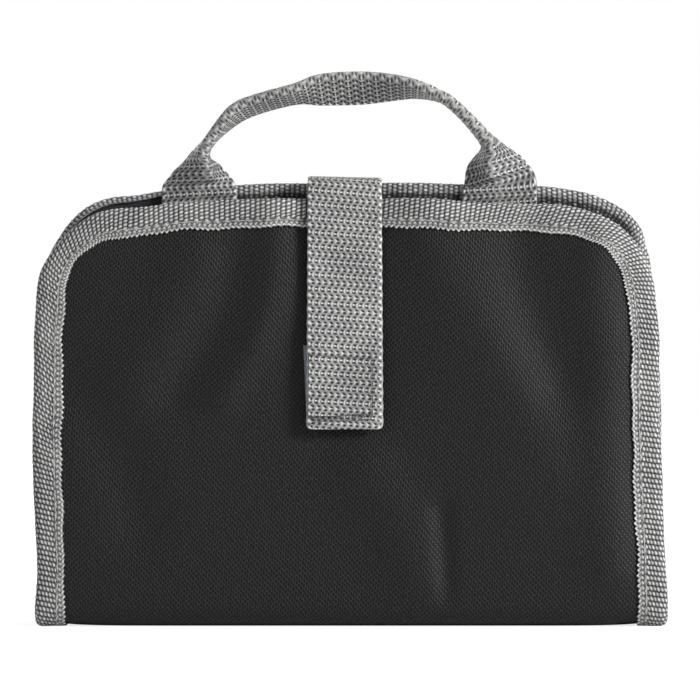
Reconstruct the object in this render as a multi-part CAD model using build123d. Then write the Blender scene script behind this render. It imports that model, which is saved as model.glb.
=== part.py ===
"""Fold-over toiletry bag, in millimetres.

The bag stands on its fold. +Z is up, the front cover faces -Y, and the origin is
the middle of the fold, on the table. Two stiffened panels lean against each other;
a webbing strap comes over the top from the rear and grips the front cover.
"""

import os
from math import cos, radians, sin

from build123d import *

# Panels and fold
BASE_DEPTH = 32.0  # outside of the front binding to outside of the rear binding, at the fold
LEAN = 3.1  # degrees that each panel leans towards the other
PANEL_WIDTH = 251.0  # fabric edge to fabric edge at the fold
PANEL_TOP_WIDTH = 247.5
FRONT_HEIGHT = 161.6  # from the fold to the middle of the top edge
REAR_HEIGHT = 167.6
CROWN = 3.5  # rise of the top edge between its corners
CORNER_RADIUS = 33.0
BEND_RADIUS = 8.0  # outside of the fold's two soft corners
FOLD_GAP = 0.7  # room for each panel to turn on the fold

# Layers of a panel
SHELL = 0.8
STIFFENER = 2.0
LINING = 0.6
STIFFENER_FOOT = 4.0  # the stiffener stops short of the fold
CORE = SHELL + STIFFENER + LINING

# Binding tape
TAPE = 0.8
TAPE_COVER = 11.0  # width of each face of the folded tape

# Webbing of the handle and the strap
WEBBING = 1.6
WEBBING_WIDTH = 30.0
LAY_GAP = 0.3  # between things that lie on each other and move apart

# Closure strap
STRAP_X = -1.7
STRAP_TOP_Z = 177.9  # middle of the webbing where it crosses the top
STRAP_END_Z = 78.4
ANCHOR_LENGTH = 48.0
STRAP_CORNER = 1.5
PATCH = 1.3
PATCH_SEAT = 0.2  # between the hooks and the loops
LOOP_PATCH = (30.0, 31.5)
LOOP_PATCH_X = -3.2
LOOP_PATCH_FOOT_Z = 80.8
HOOK_PATCH = (26.0, 26.0)
HOOK_PATCH_FOOT_Z = 83.8
STRAP_RAMP = 14.0  # length over which the strap comes off the patches

# Carry handle
LEG_X = 60.0
HANDLE_PIVOT_Z = 178.0
HANDLE_RISE = 37.0  # from the pivot to the middle of the folded webbing
TAB_LENGTH = 46.0
TAB_RAMP = 5.0
# One half of the arch, from the leg to the middle: the share of LEG_X, the share of
# HANDLE_RISE, half the opening of the folded webbing, and its roll from facing the
# viewer, the last two in degrees.
ARCH = (
    (1.0, 0.0, 90.0, 90.0),
    (0.977, 0.162, 62.0, 90.0),
    (0.938, 0.338, 26.0, 90.0),
    (0.877, 0.535, 4.0, 88.0),
    (0.753, 0.746, 2.0, 82.0),
    (0.558, 0.903, 2.0, 68.0),
    (0.292, 0.984, 2.0, 34.0),
    (0.0, 1.0, 2.0, 10.0),
)

# Inside pockets and their zips, as distances from the lining into the bag
POCKET_FABRIC = 0.8
POCKET_MARGIN = 12.9  # from the side of the panel to a pocket
POCKET_SIDE = PANEL_WIDTH / 2 - POCKET_MARGIN
POCKET_SEAM = 6.0
POCKET_RAMP = 7.0
REAR_ZIP_V = 102.0  # height of the zip's middle above the fold
REAR_POCKET_LENGTH = 88.0
FRONT_ZIP_V = 28.0
FRONT_POCKET_LENGTH = 92.0
HEM_WIDTH = 9.0
HEM = 0.5
ZIP_TAPE = 0.6
ZIP_TAPE_WIDTH = 12.0
ZIP_LIFT = 1.6  # behind the tape, for the slider's lower plate
ZIP_SEAM = 5.0
COIL = 1.4
COIL_WIDTH = 2.4
COIL_SPLIT = 1.4  # between the two coils, for the slider's post
ZIP_CLEARANCE = 0.3
SLIDER_LENGTH = 11.0
SLIDER_WIDTH = 8.6
SLIDER_PLATE = 1.0
STOP_LENGTH = 2.6
STOP_X = POCKET_SIDE - 8.6
PULL_LENGTH = 17.0
PULL_WIDTH = 6.0
PULL = 1.2
PULL_EYE = 1.7  # radius of the hole in the pull
STUD = 1.5  # radius of the stud that the pull hangs on
STUD_HEAD = 2.4

TAPE_OUT = CORE + TAPE


class Half:
    """A panel's own frame: u along +X, v up the panel, w out of the bag from the lining."""

    def __init__(self, front, height):
        self.out = 1 if front else -1
        self.height = height
        lean = radians(LEAN)
        self.up = Vector(0, self.out * sin(lean), cos(lean))
        self.normal = Vector(0, -self.out * cos(lean), sin(lean))
        edge = Vector(0, -self.out * BASE_DEPTH / 2, BEND_RADIUS + FOLD_GAP)
        self.origin = edge - self.normal * TAPE_OUT
        self.plane = Plane(self.origin, x_dir=(1, 0, 0), z_dir=self.normal * self.out)

    def point(self, v, w):
        """The world point in the middle of the panel at height v and distance w."""
        return self.origin + self.up * v + self.normal * w

    def v_at(self, z, w):
        """The height up the panel at which distance w is at world height z."""
        return (z - self.origin.Z - self.normal.Z * w) / self.up.Z

    def slab(self, face, low, high):
        """A face of the panel's plane, from distance low to high."""
        first, last = sorted((low * self.out, high * self.out))
        return self.plane * (Pos(0, 0, first) * extrude(face, amount=last - first))

    def strip(self, profile, left, right):
        """A (v, w) outline carried across the panel from left to right."""
        points = [(v, w * self.out) for v, w in profile]
        face = Plane.YZ * make_face(Polyline(*points, close=True))
        return self.plane * (Pos(left, 0, 0) * extrude(face, amount=right - left, dir=(1, 0, 0)))

    def block(self, size, middle, low, high):
        """A box of size (u, v) about the middle (u, v), from distance low to high."""
        return self.slab(Pos(*middle) * Rectangle(*size), low, high)

    def disc(self, radius, middle, low, high):
        """A round piece about the middle (u, v), from distance low to high."""
        return self.slab(Pos(*middle) * Circle(radius), low, high)


def outline(half, grow=0.0, foot=0.0):
    """A panel's face, grown at its sides and top, and cut off at height foot."""
    bottom, top = PANEL_WIDTH / 2 + grow, PANEL_TOP_WIDTH / 2 + grow
    peak = half.height + grow
    shoulder = peak - CROWN
    edge = Polyline((-top, shoulder), (-bottom, 0), (bottom, 0), (top, shoulder))
    edge += ThreePointArc((top, shoulder), (0, peak), (-top, shoulder))
    face = make_face(edge)
    face = fillet(face.vertices().group_by(Axis.Y)[-1], CORNER_RADIUS + grow)
    return face - Pos(0, foot - peak) * Rectangle(3 * bottom, 2 * peak)


def panel(half):
    """The layers of one panel and the tape that binds them."""
    shell = half.slab(outline(half), CORE - SHELL, CORE)
    stiffener = half.slab(outline(half, foot=STIFFENER_FOOT), LINING, CORE - SHELL)
    lining = half.slab(outline(half), 0, LINING)
    binding = half.slab(outline(half, TAPE), -TAPE, TAPE_OUT)
    binding -= half.slab(outline(half, -TAPE_COVER, -TAPE), -2 * TAPE, TAPE_OUT + TAPE)
    binding -= half.slab(outline(half), 0, CORE)
    return {"shell": shell, "stiffener": stiffener, "lining": lining, "binding": binding}


def fold_profile(inset, side):
    """One side of the fold's cross-section, inset from its outside, as one line."""
    radius = BEND_RADIUS - inset
    flat = BASE_DEPTH / 2 - BEND_RADIUS
    start = (-side * (flat + radius), BEND_RADIUS)
    middle = (-side * (flat + radius * sin(radians(45))), BEND_RADIUS - radius * cos(radians(45)))
    return ThreePointArc(start, middle, (-side * flat, inset))


def fold_layer(outer, inner, left, right):
    """A layer of the fold between two insets, carried from left to right."""
    flat = BASE_DEPTH / 2 - BEND_RADIUS
    reach_out, reach_in = flat + BEND_RADIUS - outer, flat + BEND_RADIUS - inner
    edge = fold_profile(outer, 1) + Line((-flat, outer), (flat, outer)) + fold_profile(outer, -1)
    edge += Line((reach_out, BEND_RADIUS), (reach_in, BEND_RADIUS)) + fold_profile(inner, -1)
    edge += Line((flat, inner), (-flat, inner)) + fold_profile(inner, 1)
    edge += Line((-reach_in, BEND_RADIUS), (-reach_out, BEND_RADIUS))
    face = Plane.YZ * make_face(edge)
    return Pos(left, 0, 0) * extrude(face, amount=right - left, dir=(1, 0, 0))


def fold():
    """The soft bottom between the panels. Its tape is let in, so that all of it rests."""
    half_width = PANEL_WIDTH / 2
    fabric_in, lining_in = TAPE + SHELL, TAPE + SHELL + LINING
    cloth = fold_layer(TAPE, lining_in, -half_width, half_width)
    tapes = {}
    for name, side in (("left", -1), ("right", 1)):
        ends = sorted((side * (half_width - TAPE_COVER), side * (half_width + TAPE)))
        tapes[name] = fold_layer(0, lining_in + TAPE, *ends) - cloth
    shell = fold_layer(0, fabric_in, -half_width, half_width) - tapes["left"] - tapes["right"]
    return {
        "spine_shell": shell,
        "spine_lining": fold_layer(fabric_in, lining_in, -half_width, half_width),
        "spine_binding_left": tapes["left"],
        "spine_binding_right": tapes["right"],
    }


def webbing_roll(x, point):
    """The small round bend on which webbing turns, about an axis along X."""
    return Pos(x, point.Y, point.Z) * Rot(0, 90, 0) * Cylinder(WEBBING / 2, WEBBING_WIDTH)


def strap_ends(front, rear):
    """Where the strap bends, over the rear and the front top edges."""
    rear_w = TAPE_OUT + WEBBING / 2
    front_w = TAPE_OUT + LAY_GAP + WEBBING / 2
    return rear.point(rear.v_at(STRAP_TOP_Z, rear_w), rear_w), front.point(
        front.v_at(STRAP_TOP_Z, front_w), front_w
    )


def strap(front, rear):
    """The closure strap in its three stretches, with the patches that grip."""
    rear_bend, front_bend = strap_ends(front, rear)
    left, right = STRAP_X - WEBBING_WIDTH / 2, STRAP_X + WEBBING_WIDTH / 2
    clear = WEBBING / 2 + LAY_GAP / 3

    anchor_top = rear.v_at(STRAP_TOP_Z, TAPE_OUT) - clear
    tape_foot = rear.height - TAPE_COVER - LAY_GAP
    anchor = rear.strip(
        [
            (anchor_top - ANCHOR_LENGTH, CORE),
            (tape_foot - TAPE, CORE),
            (tape_foot, TAPE_OUT),
            (anchor_top, TAPE_OUT),
            (anchor_top, TAPE_OUT + WEBBING),
            (tape_foot, TAPE_OUT + WEBBING),
            (tape_foot - TAPE, CORE + WEBBING),
            (anchor_top - ANCHOR_LENGTH, CORE + WEBBING),
        ],
        left,
        right,
    )

    length = rear_bend.Y - front_bend.Y
    middle = (rear_bend + front_bend) / 2
    top = Pos(STRAP_X, middle.Y, STRAP_TOP_Z) * Box(WEBBING_WIDTH, length, WEBBING)
    top += webbing_roll(STRAP_X, rear_bend) + webbing_roll(STRAP_X, front_bend)

    near, far = TAPE_OUT + LAY_GAP, CORE + 2 * PATCH + PATCH_SEAT
    flap_top = front.v_at(STRAP_TOP_Z, near + WEBBING / 2) - clear
    flap_foot = front.v_at(STRAP_END_Z, far)
    patch_top = front.v_at(LOOP_PATCH_FOOT_Z + LOOP_PATCH[1], far) + LAY_GAP
    flap = front.strip(
        [
            (flap_foot, far),
            (patch_top, far),
            (patch_top + STRAP_RAMP, near),
            (flap_top, near),
            (flap_top, near + WEBBING),
            (patch_top + STRAP_RAMP, near + WEBBING),
            (patch_top, far + WEBBING),
            (flap_foot, far + WEBBING),
        ],
        left,
        right,
    )
    lower_corners = flap.edges().filter_by(lambda e: abs(e.length - WEBBING) < TAPE).group_by(Axis.Z)[0]
    flap = fillet(lower_corners, STRAP_CORNER)

    loop_v = front.v_at(LOOP_PATCH_FOOT_Z, CORE) + LOOP_PATCH[1] / 2
    loops = front.block(LOOP_PATCH, (LOOP_PATCH_X, loop_v), CORE, CORE + PATCH)
    hook_v = front.v_at(HOOK_PATCH_FOOT_Z, CORE) + HOOK_PATCH[1] / 2
    hooks = front.block(HOOK_PATCH, (STRAP_X, hook_v), far - PATCH, far)
    return {
        "strap_anchor": anchor,
        "strap_top": top,
        "strap_flap": flap,
        "loop_patch": loops,
        "hook_patch": hooks,
    }


def folded_webbing(opening):
    """The section of webbing folded along its middle, its fold at the origin, +Y out."""
    half = radians(opening)
    arm = WEBBING_WIDTH / 2
    corner = (WEBBING * cos(half), 0)
    tip = (corner[0] + arm * sin(half), -arm * cos(half))
    inner_tip = (tip[0] - WEBBING * cos(half), tip[1] - WEBBING * sin(half))
    nib = max(corner[0], WEBBING / 20)
    right = [(nib, 0), tip, inner_tip]
    left = [(-x, y) for x, y in reversed(right)]
    return make_face(Polyline(*right, (0, -WEBBING), *left, close=True))


def handle_y(rear):
    """The depth at which the handle's webbing stands, inside the rear binding."""
    w = -TAPE - WEBBING / 2
    return rear.point(rear.v_at(HANDLE_PIVOT_Z, w), w).Y


def folded_section(middle, along, opening, roll):
    """The folded webbing's section about a point of the arch, across the direction along."""
    outward = Vector(-along.Z, 0, along.X)
    turn, spread = radians(roll), sin(radians(opening))
    to_fold = outward * cos(turn) + Vector(0, -1, 0) * sin(turn)
    shift = WEBBING / 2 * spread + WEBBING_WIDTH / 4 * (1 - spread)
    plane = Plane(middle + to_fold * shift, x_dir=to_fold.cross(along), z_dir=along)
    return plane * folded_webbing(opening)


def handle(rear):
    """The arch of folded webbing, opened flat at its two legs, and its sewn tabs."""
    depth = handle_y(rear)
    stations = [(-x, z, opening, roll) for x, z, opening, roll in ARCH[:-1]] + list(reversed(ARCH))
    middles = [Vector(x * LEG_X, depth, HANDLE_PIVOT_Z + z * HANDLE_RISE) for x, z, _, _ in stations]
    up = Vector(0, 0, 1)
    inner = [(after - before).normalized() for before, after in zip(middles, middles[2:])]
    directions = [up, *inner, -up]
    sections = [
        folded_section(middle, along, opening, roll)
        for middle, along, (_, _, opening, roll) in zip(middles, directions, stations)
    ]
    arch = loft(sections, ruled=True)
    for x in (-LEG_X, LEG_X):
        foot = webbing_roll(x, Vector(0, depth, HANDLE_PIVOT_Z))
        upper_half = Pos(x, depth, HANDLE_PIVOT_Z + WEBBING) * Box(
            2 * WEBBING_WIDTH, 2 * WEBBING, 2 * WEBBING
        )
        arch += foot - upper_half

    tab_top = rear.v_at(HANDLE_PIVOT_Z, -TAPE) - WEBBING / 2 - LAY_GAP / 3
    tape_foot = rear.height - CROWN - TAPE_COVER - LAY_GAP
    profile = [
        (tab_top - TAB_LENGTH, 0),
        (tape_foot - TAB_RAMP, 0),
        (tape_foot, -TAPE),
        (tab_top, -TAPE),
        (tab_top, -TAPE - WEBBING),
        (tape_foot, -TAPE - WEBBING),
        (tape_foot - TAB_RAMP, -WEBBING),
        (tab_top - TAB_LENGTH, -WEBBING),
    ]
    tabs = [rear.strip(profile, x - WEBBING_WIDTH / 2, x + WEBBING_WIDTH / 2) for x in (-LEG_X, LEG_X)]
    return {"carry_handle": arch, "handle_tabs": Compound(tabs)}


class Pocket:
    """A zipped pocket on a panel's lining. It hangs from its zip towards away, +1 up or -1 down."""

    tape_in, tape_out = ZIP_LIFT, ZIP_LIFT + ZIP_TAPE
    coil_in, coil_out = COIL_SPLIT / 2, COIL_SPLIT / 2 + COIL_WIDTH
    coil_top = ZIP_LIFT + ZIP_TAPE + COIL

    def __init__(self, half, zip_v, away, length):
        self.half, self.zip_v, self.away, self.length = half, zip_v, away, length

    def across(self, profile, left=-POCKET_SIDE, right=POCKET_SIDE):
        """An outline of distances from the zip and into the bag, carried across the panel."""
        return self.half.strip([(self.zip_v + self.away * v, -w) for v, w in profile], left, right)

    def sheet(self):
        """The pocket's cloth: a flat face, a slope down to its seam, and its two side walls."""
        out, seam = self.tape_out, self.length - POCKET_SEAM
        ramp = seam - POCKET_RAMP
        start = ZIP_TAPE_WIDTH / 2
        cloth = self.across(
            [
                (start, out),
                (ramp, out),
                (seam, 0),
                (self.length, 0),
                (self.length, POCKET_FABRIC),
                (seam, POCKET_FABRIC),
                (ramp, out + POCKET_FABRIC),
                (start, out + POCKET_FABRIC),
            ]
        )
        wall_start = ZIP_TAPE_WIDTH + LAY_GAP
        wall = [(wall_start, 0), (seam, 0), (ramp, out), (wall_start, out)]
        for side in (-1, 1):
            ends = sorted((side * POCKET_SIDE, side * (POCKET_SIDE - POCKET_FABRIC)))
            cloth += self.across(wall, *ends)
        return cloth

    def hem(self):
        """The tape that is sewn over the pocket's seam."""
        seam, end = self.length - POCKET_SEAM, self.length - POCKET_SEAM + HEM_WIDTH
        return self.across(
            [
                (seam, POCKET_FABRIC),
                (self.length, POCKET_FABRIC),
                (end, 0),
                (end, HEM),
                (self.length, POCKET_FABRIC + HEM),
                (seam, POCKET_FABRIC + HEM),
            ]
        )

    def tapes(self):
        """The zip's two tapes: one under the pocket's edge, one stepped down to the lining."""
        inner, low, high = self.coil_in, self.tape_in, self.tape_out
        wide = ZIP_TAPE_WIDTH
        pocket_side = self.across([(inner, low), (wide, low), (wide, high), (inner, high)])
        bend, end = ZIP_TAPE_WIDTH - ZIP_SEAM, ZIP_TAPE_WIDTH + ZIP_LIFT
        foot = bend + ZIP_LIFT
        lining_side = self.across(
            [
                (-inner, low),
                (-bend, low),
                (-foot, 0),
                (-end, 0),
                (-end, ZIP_TAPE),
                (-foot, ZIP_TAPE),
                (-bend, high),
                (-inner, high),
            ]
        )
        return pocket_side, lining_side

    def coils(self):
        """The two coils, with room between them for the slider's post."""
        low, high = self.tape_out, self.coil_top
        rows = []
        for side in (-1, 1):
            near, far = side * self.coil_in, side * self.coil_out
            profile = [(near, low), (far, low), (far, high), (near, high)]
            rows.append(self.across(profile, -STOP_X, STOP_X))
        return Compound(rows)

    def stops(self):
        """The end stops that keep the slider on the coils."""
        size = (STOP_LENGTH, 2 * self.coil_out)
        ends = []
        for side in (-1, 1):
            middle = (side * (STOP_X + STOP_LENGTH / 2), self.zip_v)
            ends.append(self.half.block(size, middle, -self.coil_top, -self.tape_out))
        return Compound(ends)

    def nodes(self, name):
        """All of the pocket's pieces, by node name."""
        pocket_side, lining_side = self.tapes()
        return {
            f"{name}_pocket": self.sheet(),
            f"{name}_pocket_hem": self.hem(),
            f"{name}_zip_pocket_tape": pocket_side,
            f"{name}_zip_lining_tape": lining_side,
            f"{name}_zip_coils": self.coils(),
            f"{name}_zip_stops": self.stops(),
            **slider(self.half, name, self.zip_v),
        }


def slider_x():
    """The middle of a closed zip's slider."""
    return STOP_X - ZIP_CLEARANCE - SLIDER_LENGTH / 2


def slider(half, name, zip_v):
    """A zip's slider at its closed end, and the pull that hangs on its stud."""
    x = slider_x()
    plate = (SLIDER_LENGTH, SLIDER_WIDTH)
    tape_back, coil_top = ZIP_LIFT, ZIP_LIFT + ZIP_TAPE + COIL
    lower_in = tape_back - ZIP_CLEARANCE - SLIDER_PLATE
    upper = coil_top + ZIP_CLEARANCE
    upper_out = upper + SLIDER_PLATE
    post = (SLIDER_LENGTH / 3, COIL_SPLIT - 2 * ZIP_CLEARANCE)
    body = half.block(plate, (x, zip_v), -(lower_in + SLIDER_PLATE), -lower_in)
    body += half.block(plate, (x, zip_v), -upper_out, -upper)
    body += half.block(post, (x, zip_v), -upper, -(lower_in + SLIDER_PLATE))
    pull_in = upper_out + ZIP_CLEARANCE
    pull_out = pull_in + PULL
    head_out = pull_out + ZIP_CLEARANCE + PULL / 2
    body += half.disc(STUD, (x, zip_v), -head_out, -upper_out)
    body += half.disc(STUD_HEAD, (x, zip_v), -head_out, -(pull_out + ZIP_CLEARANCE))
    tab = Pos(x, zip_v - PULL_LENGTH / 2 + PULL_WIDTH / 2) * Rectangle(PULL_WIDTH, PULL_LENGTH)
    tab = fillet(tab.vertices(), PULL_WIDTH * 0.45) - Pos(x, zip_v) * Circle(PULL_EYE)
    return {f"{name}_zip_slider": body, f"{name}_zip_pull": half.slab(tab, -pull_out, -pull_in)}


def main():
    front, rear = Half(True, FRONT_HEIGHT), Half(False, REAR_HEIGHT)
    nodes = {f"front_{name}": solid for name, solid in panel(front).items()}
    nodes |= {f"rear_{name}": solid for name, solid in panel(rear).items()}
    nodes |= fold()
    nodes |= strap(front, rear)
    nodes |= handle(rear)
    nodes |= Pocket(rear, REAR_ZIP_V, -1, REAR_POCKET_LENGTH).nodes("rear")
    nodes |= Pocket(front, FRONT_ZIP_V, 1, FRONT_POCKET_LENGTH).nodes("front")
    os.makedirs("parts", exist_ok=True)
    for name, solid in nodes.items():
        export_step(solid, f"parts/{name}.step")


if __name__ == "__main__":
    main()
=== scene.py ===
"""Fold-over toiletry bag: black cloth halves bound in grey tape, a webbing handle and a closure strap.

Lengths in this file are millimetres, and become metres when a mesh is made.
"""

from math import cos, pi, radians, sin

import bmesh
import bpy
import numpy as np
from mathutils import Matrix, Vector


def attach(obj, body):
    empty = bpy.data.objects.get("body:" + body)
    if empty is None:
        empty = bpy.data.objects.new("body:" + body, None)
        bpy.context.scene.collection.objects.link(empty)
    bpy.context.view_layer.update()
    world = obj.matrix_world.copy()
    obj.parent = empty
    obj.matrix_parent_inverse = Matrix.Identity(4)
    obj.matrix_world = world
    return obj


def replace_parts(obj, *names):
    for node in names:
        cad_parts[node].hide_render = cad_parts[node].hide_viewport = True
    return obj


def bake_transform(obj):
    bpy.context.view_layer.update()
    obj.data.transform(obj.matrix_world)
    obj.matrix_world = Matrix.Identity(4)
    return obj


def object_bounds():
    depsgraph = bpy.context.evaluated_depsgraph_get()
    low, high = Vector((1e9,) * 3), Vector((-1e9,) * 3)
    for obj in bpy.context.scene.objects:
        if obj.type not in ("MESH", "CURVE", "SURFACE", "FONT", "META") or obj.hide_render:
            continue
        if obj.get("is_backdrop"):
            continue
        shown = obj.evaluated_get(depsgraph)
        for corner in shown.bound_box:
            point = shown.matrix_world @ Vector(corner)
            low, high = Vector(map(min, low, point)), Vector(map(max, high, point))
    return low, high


bl_info = {
    "name": "Fold-over toiletry bag",
    "version": (1, 0, 0),
    "blender": (4, 5, 0),
    "location": "3D View > Sidebar > Toiletry bag",
    "description": "Models a fold-over toiletry bag piece by piece",
    "category": "Add Mesh",
}

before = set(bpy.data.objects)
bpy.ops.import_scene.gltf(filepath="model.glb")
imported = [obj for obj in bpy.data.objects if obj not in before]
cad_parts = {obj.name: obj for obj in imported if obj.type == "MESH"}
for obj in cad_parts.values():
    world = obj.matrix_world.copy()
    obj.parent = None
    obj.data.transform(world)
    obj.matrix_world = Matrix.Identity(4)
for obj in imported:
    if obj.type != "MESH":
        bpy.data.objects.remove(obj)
CAD_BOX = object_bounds()

MM = 0.001
BASE_DEPTH, LEAN, BEND, FOLD_GAP = 32.0, radians(3.1), 8.0, 0.7
PANEL_WIDTH, PANEL_TOP_WIDTH, CORNER, CROWN = 251.0, 247.5, 33.0, 3.5
FRONT_HEIGHT, REAR_HEIGHT = 161.6, 167.6
SHELL, FOAM, LINING, FOAM_FOOT = 0.8, 2.0, 0.6, 4.0
CORE = SHELL + FOAM + LINING
CLOTH_MARGIN, PUFF_REACH, FOAM_GAP = 1.5, 9, 0.05
TAPE, TAPE_COVER, TAPE_SEWN = 0.8, 11.0, 7.9
WEBBING, WEBBING_WIDTH = 1.6, 30.0
STRAP_X, STRAP_TOP_Z, STRAP_END_Z, ANCHOR_LENGTH = -1.7, 177.9, 78.4, 48.0
PATCH, PATCH_SEAT, LAY_GAP = 1.3, 0.2, 0.3
WEAVE_REPEAT, SEAM_STITCH = 5.57, 2.6
POCKET_SIDE, POCKET_SEAM, POCKET_RAMP, POCKET_FABRIC, HEM_WIDTH, HEM = 112.6, 6.0, 7.0, 0.8, 9.0, 0.5
ZIP_TAPE, ZIP_TAPE_WIDTH, ZIP_LIFT, ZIP_SEAM = 0.6, 12.0, 1.6, 5.0
COIL, COIL_WIDTH, COIL_SPLIT, COIL_PITCH, STOP_X, STOP_LENGTH = 1.4, 2.4, 1.4, 1.5, 104.0, 2.6
SLIDER_LENGTH, SLIDER_WIDTH, SLIDER_PLATE, SLIDER_X, ZIP_CLEARANCE = 11.0, 8.6, 1.0, 98.2, 0.3
PULL_LENGTH, PULL_WIDTH, PULL, PULL_EYE, STUD, STUD_HEAD = 17.0, 6.0, 1.2, 1.7, 1.5, 2.4

# Where the strap bends at the top edges, in metres: on the rear, on the front, the heights between
# which it turns, and how far the strap's line runs inwards there.
REAR_BEND_Y, FRONT_BEND_Y, STRAP_BEND_HEIGHTS, STRAP_BEND_RUN = 0.007638, -0.007938, (0.1745, 0.1793), 0.0015


def linear(code):
    """An sRGB hex colour as linear red, green, blue and an alpha of 1."""
    values = [int(code[i : i + 2], 16) / 255 for i in (1, 3, 5)]
    return [c / 12.92 if c <= 0.04045 else ((c + 0.055) / 1.055) ** 2.4 for c in values] + [1.0]


def colour_property(name, description, code):
    return bpy.props.FloatVectorProperty(
        name=name, description=description, subtype="COLOR", size=4, min=0, max=1, default=linear(code)
    )


def size_property(name, description, default):
    return bpy.props.FloatProperty(
        name=name, description=description, default=default * MM, min=0, unit="LENGTH", subtype="DISTANCE"
    )


class BagSizes(bpy.types.PropertyGroup):
    """Sizes that a user would change without touching the frame."""

    cloth_puff: size_property("Cloth puff", "How far the cloth stands off its foam between the tapes", 0.9)
    fold_depth: size_property("Fold depth", "Height of the soft folds in the outer cloth", 3.2)
    yarn: size_property("Cloth yarn", "Spacing of the yarns of the outer cloth", 1.02)
    rib: size_property("Tape rib", "Spacing of the ribs of the binding tape", 2.05)
    column: size_property("Webbing column", "Spacing of the columns of the webbing", 2.5)
    weave_depth: size_property("Weave depth", "Depth of the holes between the webbing's yarns", 0.3)
    stitch: size_property("Stitch length", "Length of one stitch with its gap", 3.4)


class BagColours(bpy.types.PropertyGroup):
    """Colours of the bag's materials."""

    cloth: colour_property("Cloth", "Pits of the outer cloth", "#08070d")
    cloth_fleck: colour_property("Cloth fleck", "Raised yarns of the outer cloth", "#2e2e2c")
    lining: colour_property("Lining", "Inner cloth", "#242427")
    yarn: colour_property("Grey yarn", "Yarn of the tape and the webbing", "#f6f6f4")
    gap: colour_property("Yarn gap", "Gaps between the grey yarns", "#1d1d20")
    foam: colour_property("Foam", "Foam board inside the halves", "#d9d8d2")
    loops: colour_property("Loop tape", "Soft side of the hook and loop", "#868c99")
    metal: colour_property("Zip metal", "Enamel of the zip slider and its pull", "#1a1a1c")


# Shapes


def smooth_step(value, low, high):
    share = np.clip((value - low) / (high - low), 0, 1)
    return share * share * (3 - 2 * share)


def hill(u, v, middle, spread):
    """A smooth bump of height 1 about middle, spread (sideways, upwards)."""
    return np.exp(-(((u - middle[0]) / spread[0]) ** 2) - ((v - middle[1]) / spread[1]) ** 2)


# How far each half's edges waver towards +X: heights on the half, then the moves there.
FRONT_WAVER_AT = (0, 12, 32, 72, 106, 120, 134, 147)
FRONT_LEFT_WAVER = (1.1, 1.6, 0.4, -1.0, -0.6, 0.2, 0.4, 1.9)
FRONT_RIGHT_WAVER = (0.9, 0.7, 0.1, -1.3, -1.0, -2.4, -3.0, -2.4)
REAR_LEFT_WAVER = ((118, 138, 150, 160, 170), (0, 1.4, 2.2, 1.4, 0))
REAR_RIGHT_WAVER = ((90, 110, 124, 137, 146, 153, 160), (0, -1.6, -3.7, -4.2, -3.6, -1.1, 0.3))

# How far each half's top edge sags, as drops that grow between two places across it.
FRONT_SAG = ((0.9, 25, 60), (2.0, 84, 100), (2.2, -62, -88))
REAR_SAG = ((2.6, -68, -92), (1.0, -20, -70), (3.4, 72, 110))

# Soft folds of the front cloth: rise, half-width and the line that each runs along. The strap
# holds the cloth in a shallow trough, and the folds fan out from it.
FOLDS = (
    (-0.55, 19, ((-2, 165), (-2, 84))),
    (0.55, 8, ((-29, 160), (-31, 128), (-38, 104), (-50, 84))),
    (-0.4, 9, ((-46, 140), (-50, 118), (-70, 84))),
    (0.35, 13, ((-62, 138), (-86, 90))),
    (-0.5, 11, ((-110, 90), (-92, 60), (-84, 34))),
    (-0.45, 11, ((68, 152), (70, 129), (78, 105), (85, 90))),
    (0.6, 11, ((100, 142), (101, 100), (103, 40), (104, 14))),
    (0.5, 13, ((6, 54), (20, 32), (28, 8))),
    (-0.5, 4, ((37, 38), (39, 4))),
)

# The long fold that leaves the strap's top to the right: height on the half, place, rise and the
# half-width of its slow side towards the strap. Its quick side keeps its width.
LONG_FOLD = (
    (0, 96, 0.1, 40), (20, 91, 0.35, 46), (45, 81, 0.75, 42), (69, 72, 0.95, 38),
    (93, 60, 1.0, 32), (117, 46, 0.95, 24), (149, 32, 0.8, 14), (165, 28, 0.7, 12),
)
LONG_FOLD_QUICK_SIDE = 20


def off_line(u, v, line):
    """Distance of the places (u, v) from a line of points, in millimetres."""
    nearest = np.full(np.shape(u), 1e9)
    for (u0, v0), (u1, v1) in zip(line, line[1:]):
        run, rise = u1 - u0, v1 - v0
        share = np.clip(((u - u0) * run + (v - v0) * rise) / (run**2 + rise**2), 0, 1)
        nearest = np.minimum(nearest, np.hypot(u - u0 - share * run, v - v0 - share * rise))
    return nearest


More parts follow.
